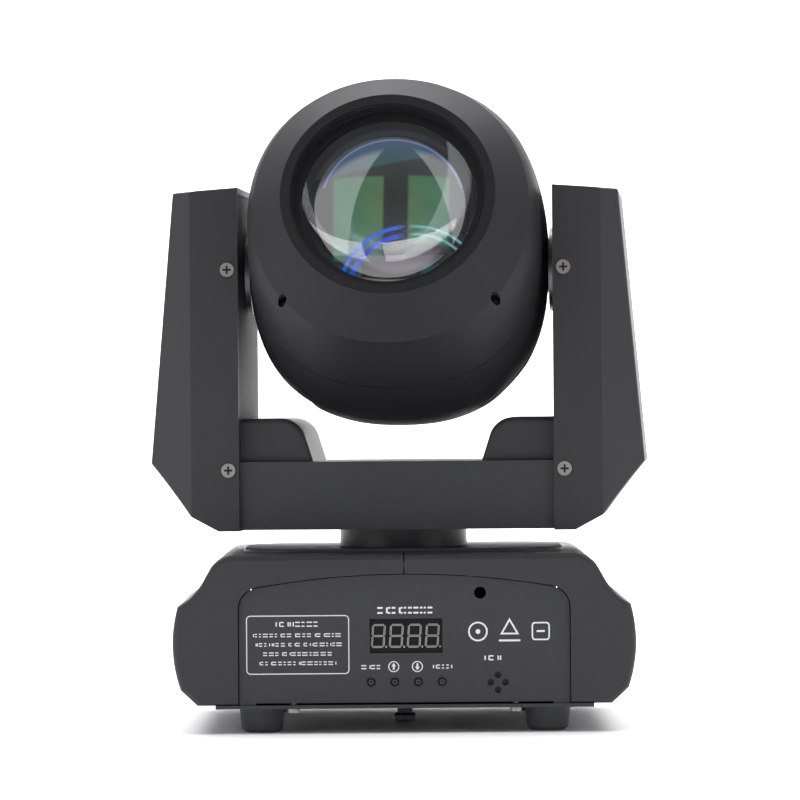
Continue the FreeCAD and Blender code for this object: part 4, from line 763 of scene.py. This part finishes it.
class AddOptics(bpy.types.Operator):
    """Add the coated lens behind the front lens, painted with glowing reflections, and the stepped baffle
    around it
    """

    bl_idname = "light.add_optics"
    bl_label = "Inner optics"

    def execute(self, context):
        sizes = context.scene.light_optics
        radius = sizes.radius
        reach = sizes.reach
        bowl = sizes.bowl
        steps = 14
        mesh = bmesh.new()
        face = [(radius * step / steps, -bowl * (step / steps) ** 2) for step in range(steps + 1)]
        back = [(radius, -bowl - 0.6 * MM), (radius * 0.5, -bowl - 0.6 * MM), (0.0, -bowl - 0.6 * MM)]
        forward = Matrix.Rotation(math.pi / 2, 4, "X")
        lathe(mesh, face + back, 96, forward)
        smooth(new_piece("coated_lens", mesh, painted_reflection_optic("lens_painted_reflections", radius), "head",
                         HEAD @ Matrix.Translation((0, -reach, 0))))
        rings = bmesh.new()
        for spot, inner in ((2.0, 39.7), (3.6, 40.0), (5.2, 40.35)):
            centre = HEAD @ Matrix.Translation((0, -(sizes.seat + spot * MM), 0)) @ forward
            profile = [(inner * MM + 0.8 * MM, 0), (inner * MM + 0.1 * MM, 0), (inner * MM, 0.25 * MM),
                       (inner * MM + 0.1 * MM, 0.5 * MM), (inner * MM + 0.8 * MM, 0.5 * MM),
                       (inner * MM + 0.8 * MM, 0)]
            lathe(rings, profile, 96, centre)
        bmesh.ops.remove_doubles(rings, verts=rings.verts, dist=1e-7)
        smooth(new_piece("tunnel_ridges", rings, moulded_plastic("ridge_plastic", (0.010, 0.010, 0.011), 0.4),
                         "head"))
        return {"FINISHED"}


class AddButtonCaps(bpy.types.Operator):
    """Add black films on the face of each button: painted shade of its raised ring and centre dimple"""

    bl_idname = "light.add_button_caps"
    bl_label = "Button caps"

    def execute(self, context):
        black = dull_window("button_ring", (0.002, 0.002, 0.0025))
        for name in ("menu", "up", "down", "enter"):
            node = "button_" + name
            centre = middle(node)
            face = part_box(node)[0][1]
            mesh = bmesh.new()
            place = facing(centre.x, face, centre.z)
            # Two black rings per button: painted shade of the ring and the dimple.
            for outer, inner in ((1.78, 1.05), (0.55, 0.20)):
                frame_prism(mesh, circle(outer * MM), circle(inner * MM), 0.08 * MM, place)
            new_piece(node + "_ring", mesh, black, name + "_key")
        return {"FINISHED"}


class AddSocketDetails(bpy.types.Operator):
    """Add the contacts, insert rings and flange screws of the rear sockets, and the screws of the power inlet
    """

    bl_idname = "light.add_socket_details"
    bl_label = "Socket details"

    def execute(self, context):
        steel = brushed_metal("contact_metal", (0.72, 0.66, 0.45), 0.2, (1.0, 20.0, 1.0), 300.0)
        screw = brushed_metal("flange_screw", (0.10, 0.10, 0.105), 0.28)
        insert = moulded_plastic("socket_insert", (0.02, 0.02, 0.024), 0.4, 2000.0)
        for name in ("dmx_input_socket", "dmx_output_socket"):
            centre = middle(name)
            low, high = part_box(name)
            floor = low[1] + 3.0 * MM
            contacts = bmesh.new()
            for turn in (90, 210, 330):
                angle = math.radians(turn)
                spot = facing(centre.x + 4.4 * MM * math.cos(angle), floor - 0.2 * MM,
                              centre.z + 4.4 * MM * math.sin(angle), 1)
                lathe(contacts, [(0, 0), (1.1 * MM, 0), (1.1 * MM, 9.2 * MM), (0.7 * MM, 10 * MM),
                                 (0, 10.2 * MM)], 20, spot)
            smooth(new_piece(name + "_contacts", contacts, steel, "base"))
            ring = bmesh.new()
            bore, rim = 6.6 * MM, 8.55 * MM
            lathe(ring, [(bore, 0), (rim, 0), (rim, 6 * MM), (bore, 5 * MM), (bore, 0)], 48,
                  facing(centre.x, floor - 0.05 * MM, centre.z, 1))
            bmesh.ops.remove_doubles(ring, verts=ring.verts, dist=1e-7)
            smooth(new_piece(name + "_insert", ring, insert, "base"))
            heads = bmesh.new()
            for across, up in ((-1, 1), (1, -1)):
                spot = facing(centre.x + across * 9.9 * MM, high[1], centre.z + up * 12.4 * MM, 1)
                pan_head_screw(heads, spot, 2.2 * MM, 1.0 * MM)
            smooth(new_piece(name + "_screws", heads, screw, "base"))
        inlet = middle("power_inlet")
        heads = bmesh.new()
        for across in (-1, 1):
            pan_head_screw(heads, facing(inlet.x + across * 20 * MM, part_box("power_inlet")[1][1], inlet.z, 1),
                           2.4 * MM, 1.1 * MM)
        smooth(new_piece("inlet_screws", heads, screw, "base"))
        return {"FINISHED"}


class AddFuseCap(bpy.types.Operator):
    """Add the fluted grip of the fuse holder's cap, and a thin black film as the painted shadow of its driver
    slot
    """

    bl_idname = "light.add_fuse_cap"
    bl_label = "Fuse cap"

    def execute(self, context):
        low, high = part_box("fuse_holder")
        centre = middle("fuse_holder")
        radius = (high[0] - low[0]) / 2
        flutes = 24
        outline = []
        for step in range(flutes * 6):
            angle = 2 * math.pi * step / (flutes * 6)
            outline.append(((radius - 0.25 * MM + 0.22 * MM * math.cos(angle * flutes)) * math.cos(angle),
                            (radius - 0.25 * MM + 0.22 * MM * math.cos(angle * flutes)) * math.sin(angle)))
        mesh = bmesh.new()
        seat = high[1] - 13.5 * MM
        length = high[1] - seat
        collar = circle(radius, flutes * 6)
        crown = [(x * 0.86, y * 0.86) for x, y in outline]
        place = facing(centre.x, seat, centre.z, 1)
        levels = [(collar, 0.0), (collar, 1.6 * MM), (outline, 2.0 * MM), (outline, length - 1.2 * MM),
                  (crown, length - 0.1 * MM)]
        rings = [[mesh.verts.new(place @ Vector((x, y, z))) for x, y in ring] for ring, z in levels]
        for first, second in zip(rings, rings[1:]):
            for here in range(len(first)):
                after = (here + 1) % len(first)
                mesh.faces.new((first[here], first[after], second[after], second[here]))
        mesh.faces.new(rings[0][::-1])
        mesh.faces.new(rings[-1])
        piece = smooth(new_piece("fuse_cap", mesh, gloss_plastic("fuse_plastic", (0.016, 0.016, 0.018), 0.3),
                                 "base"))
        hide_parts("fuse_holder")
        # The driver slot is not cut: a thin black film paints its shadow.
        slot = bmesh.new()
        prism(slot, rounded_box(8.0 * MM, 1.3 * MM, 0.3 * MM, 3), 0.06 * MM,
              facing(centre.x, high[1] - 0.11 * MM, centre.z, 1))
        new_piece("fuse_slot", slot, rubber("slot_shadow", (0.004, 0.004, 0.004)), "base")
        return {"FINISHED"}


class AddPanelScrews(bpy.types.Operator):
    """Add the small screws of the panels and the head, and the shadow in the arm screws' crosses"""

    bl_idname = "light.add_panel_screws"
    bl_label = "Small screws"

    def execute(self, context):
        low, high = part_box("rear_panel")
        steel = brushed_metal("panel_screw", (0.55, 0.53, 0.5), 0.22, (12.0, 1.0, 12.0), 500.0)
        mesh = bmesh.new()
        for across in (-1, 1):
            for z in (low[2] + 5 * MM, low[2] + 44 * MM):
                pan_head_screw(mesh, facing(across * (high[0] - 5.5 * MM), high[1], z, 1), 2.6 * MM, 1.2 * MM)
        smooth(new_piece("rear_panel_screws", mesh, steel, "base"))
        grille = bmesh.new()
        for across in (-1, 1):
            for up in (-1, 1):
                spot = HEAD @ Matrix.Translation((across * 28.5 * MM, 74.0 * MM, up * 12 * MM))
                pan_head_screw(grille, spot @ Matrix.Rotation(-math.pi / 2, 4, "X"), 1.8 * MM, 0.8 * MM)
        smooth(new_piece("grille_screws", grille, steel, "head"))
        plugs = bmesh.new()
        for across in (-1, 1):
            spot = HEAD @ Matrix.Translation((across * 44.5 * MM, -62.5 * MM, -40.5 * MM))
            pan_head_screw(plugs, spot @ Matrix.Rotation(math.pi / 2, 4, "X"), 1.85 * MM, 1.3 * MM)
        black = moulded_plastic("black_screw", (0.02, 0.02, 0.022), 0.4)
        smooth(new_piece("front_shell_screws", plugs, black, "head"))
        self.crosses()
        return {"FINISHED"}

    @staticmethod
    def crosses():
        """Painted shadow in the cross recess of each arm screw, front and rear: thin dark films."""
        screws = frame["nodes"]["arm_screws"]
        local = YOKE.inverted() @ screws.matrix_world
        places = [local @ vertex.co for vertex in screws.data.vertices]
        low = [min(place[axis] for place in places) for axis in range(3)]
        high = [max(place[axis] for place in places) for axis in range(3)]
        head_radius = 3.05 * MM
        bar = rounded_box(3.6 * MM, 0.85 * MM, 0.2 * MM, 2)
        mesh = bmesh.new()
        for x in (low[0] + head_radius, high[0] - head_radius):
            for z in (low[2] + head_radius, high[2] - head_radius):
                for y, way in ((low[1], -1), (high[1], 1)):
                    for turn in (0, 90):
                        spin = Matrix.Rotation(math.radians(turn), 4, "Z")
                        film = (0.03 + turn * 0.0001) * MM
                        prism(mesh, bar, film, YOKE @ facing(x, y, z, way) @ spin)
        shadow = rubber("cross_shadow", (0.004, 0.004, 0.004))
        new_piece("arm_screw_crosses", mesh, shadow, "yoke")


class BuildStudio(bpy.types.Operator):
    """Build the pale floor, the soft lights and the camera"""

    bl_idname = "light.build_studio"
    bl_label = "Studio"

    def execute(self, context):
        scene = context.scene
        studio = scene.light_studio
        scene.view_settings.view_transform = "Standard"
        self.sweep()
        self.world(scene)
        for side in (-1, 1):
            self.softbox("overhead", (side * 0.8, front_face() + 0.2, 1.9), (1.35, 2.2), 30.0,
                         (side * 0.8, front_face() + 0.2, 0.0)).visible_glossy = False
        self.softbox("wall", (0.0, 1.3, 2.6), (3.2, 1.6), 190.0, (0.0, 3.4, 0.4))
        data = bpy.data.cameras.new("camera")
        data.lens = studio.lens
        data.sensor_width = 36.0
        data.clip_end = 50.0
        camera = bpy.data.objects.new("camera", data)
        camera.location = (-1.04 * MM, front_face() - studio.distance, studio.height)
        turn = Matrix.Rotation(math.pi / 2, 4, "X") @ Matrix.Rotation(studio.roll, 4, "Z")
        camera.rotation_euler = turn.to_euler()
        scene.collection.objects.link(camera)
        scene.camera = camera
        return {"FINISHED"}

    @staticmethod
    def sweep():
        """A floor that curves up into a backdrop far behind."""
        finish = Finish("studio_paper", Specular_IOR_Level=0.1)
        drift = finish.noise(2.0, 3.0)
        finish.feed("Base Color", finish.blend(drift, (0.86, 0.86, 0.86), (0.89, 0.89, 0.89)))
        finish.feed("Roughness", 0.85 + drift * 0.1)
        mesh = bmesh.new()
        line = [(-6.0, 0.0), (2.2, 0.0)]
        line += [(2.2 + 1.4 * math.sin(math.radians(turn)), 1.4 - 1.4 * math.cos(math.radians(turn)))
                 for turn in range(6, 91, 6)]
        line.append((3.6, 5.0))
        rows = [[mesh.verts.new((x, y, z)) for x in (-6.0, 6.0)] for y, z in line]
        for first, second in zip(rows, rows[1:]):
            mesh.faces.new((first[0], first[1], second[1], second[0]))
        data = bpy.data.meshes.new("floor")
        mesh.to_mesh(data)
        mesh.free()
        data.materials.append(finish.material)
        floor = bpy.data.objects.new("floor", data)
        bpy.context.scene.collection.objects.link(floor)
        for face in data.polygons:
            face.use_smooth = True

    @staticmethod
    def world(scene):
        """Pale light from all round, dim overhead and in a strip on the camera's side."""
        world = bpy.data.worlds.new("studio")
        world.use_nodes = True
        tree = world.node_tree
        way = tree.nodes.new("ShaderNodeSeparateXYZ")
        tree.links.new(tree.nodes.new("ShaderNodeTexCoord").outputs["Generated"], way.inputs[0])

        def arithmetic(operation, first, second=0.0, third=0.0):
            node = tree.nodes.new("ShaderNodeMath")
            node.operation = operation
            for spot, value in enumerate((first, second, third)):
                if isinstance(value, float):
                    node.inputs[spot].default_value = value
                else:
                    tree.links.new(value, node.inputs[spot])
            return node.outputs[0]

        def ramp(signal, *limits):
            node = tree.nodes.new("ShaderNodeMapRange")
            tree.links.new(signal, node.inputs["Value"])
            for name, value in zip(("From Min", "From Max", "To Min", "To Max"), limits):
                node.inputs[name].default_value = value
            return node.outputs[0]

        east, north = way.outputs["X"], way.outputs["Y"]
        lean, strip, glow = 0.05, 0.76, 1.50
        around = arithmetic("MULTIPLY", ramp(north, -0.75, 0.1, 0.20, 1.0),
                            ramp(way.outputs["Z"], 0.25, 0.9, 1.0, 0.4))
        beside = arithmetic("ABSOLUTE", arithmetic("MULTIPLY_ADD", north, lean, east))
        beside = ramp(arithmetic("MULTIPLY_ADD", north, strip, beside), -0.01, 0.01, 0.0, glow)
        ahead = ramp(north, -0.25, -0.12, 1.0, 0.0)
        total = arithmetic("MAXIMUM", around, arithmetic("MULTIPLY", beside, ahead))
        tree.links.new(total, tree.nodes["Background"].inputs["Strength"])
        tree.nodes["Background"].inputs["Color"].default_value = (0.97, 0.98, 1.0, 1.0)
        scene.world = world

    @staticmethod
    def softbox(name, place, size, power, target):
        """A rectangular area light aimed at a point."""
        data = bpy.data.lights.new(name, "AREA")
        data.shape = "RECTANGLE"
        data.size, data.size_y = size
        data.energy = power
        lamp = bpy.data.objects.new(name, data)
        lamp.location = place
        aim = Vector(target) - Vector(place)
        lamp.rotation_euler = aim.to_track_quat("-Z", "Y").to_euler()
        bpy.context.scene.collection.objects.link(lamp)
        return lamp


STEPS = (FinishHousings, AddDigits, AddPanelPrints, AddButtonCaps, AddOptics, AddSocketDetails, AddFuseCap,
         AddPanelScrews, BuildStudio)


class LightPanel(bpy.types.Panel):
    """Lists the settings and the building steps"""

    bl_idname = "VIEW3D_PT_light"
    bl_label = "Moving head light"
    bl_space_type = "VIEW_3D"
    bl_region_type = "UI"
    bl_category = "Light"

    def draw(self, context):
        scene = context.scene
        for group in (scene.light_finishes, scene.light_prints, scene.light_optics, scene.light_studio):
            for name in group.__annotations__:
                self.layout.prop(group, name)
        for step in STEPS:
            self.layout.operator(step.bl_idname)


CLASSES = (LightFinishes, LightPrints, LightOptics, LightStudio) + STEPS + (LightPanel,)


def register():
    for entry in CLASSES:
        bpy.utils.register_class(entry)
    bpy.types.Scene.light_finishes = PointerProperty(type=LightFinishes)
    bpy.types.Scene.light_prints = PointerProperty(type=LightPrints)
    bpy.types.Scene.light_optics = PointerProperty(type=LightOptics)
    bpy.types.Scene.light_studio = PointerProperty(type=LightStudio)


def unregister():
    del bpy.types.Scene.light_studio
    del bpy.types.Scene.light_optics
    del bpy.types.Scene.light_prints
    del bpy.types.Scene.light_finishes
    for entry in reversed(CLASSES):
        bpy.utils.unregister_class(entry)


def main():
    """Registers the add-on and runs every step."""
    register()
    for step in STEPS:
        group, name = step.bl_idname.split(".")
        getattr(getattr(bpy.ops, group), name)()


if __name__ == "__main__":
    main()
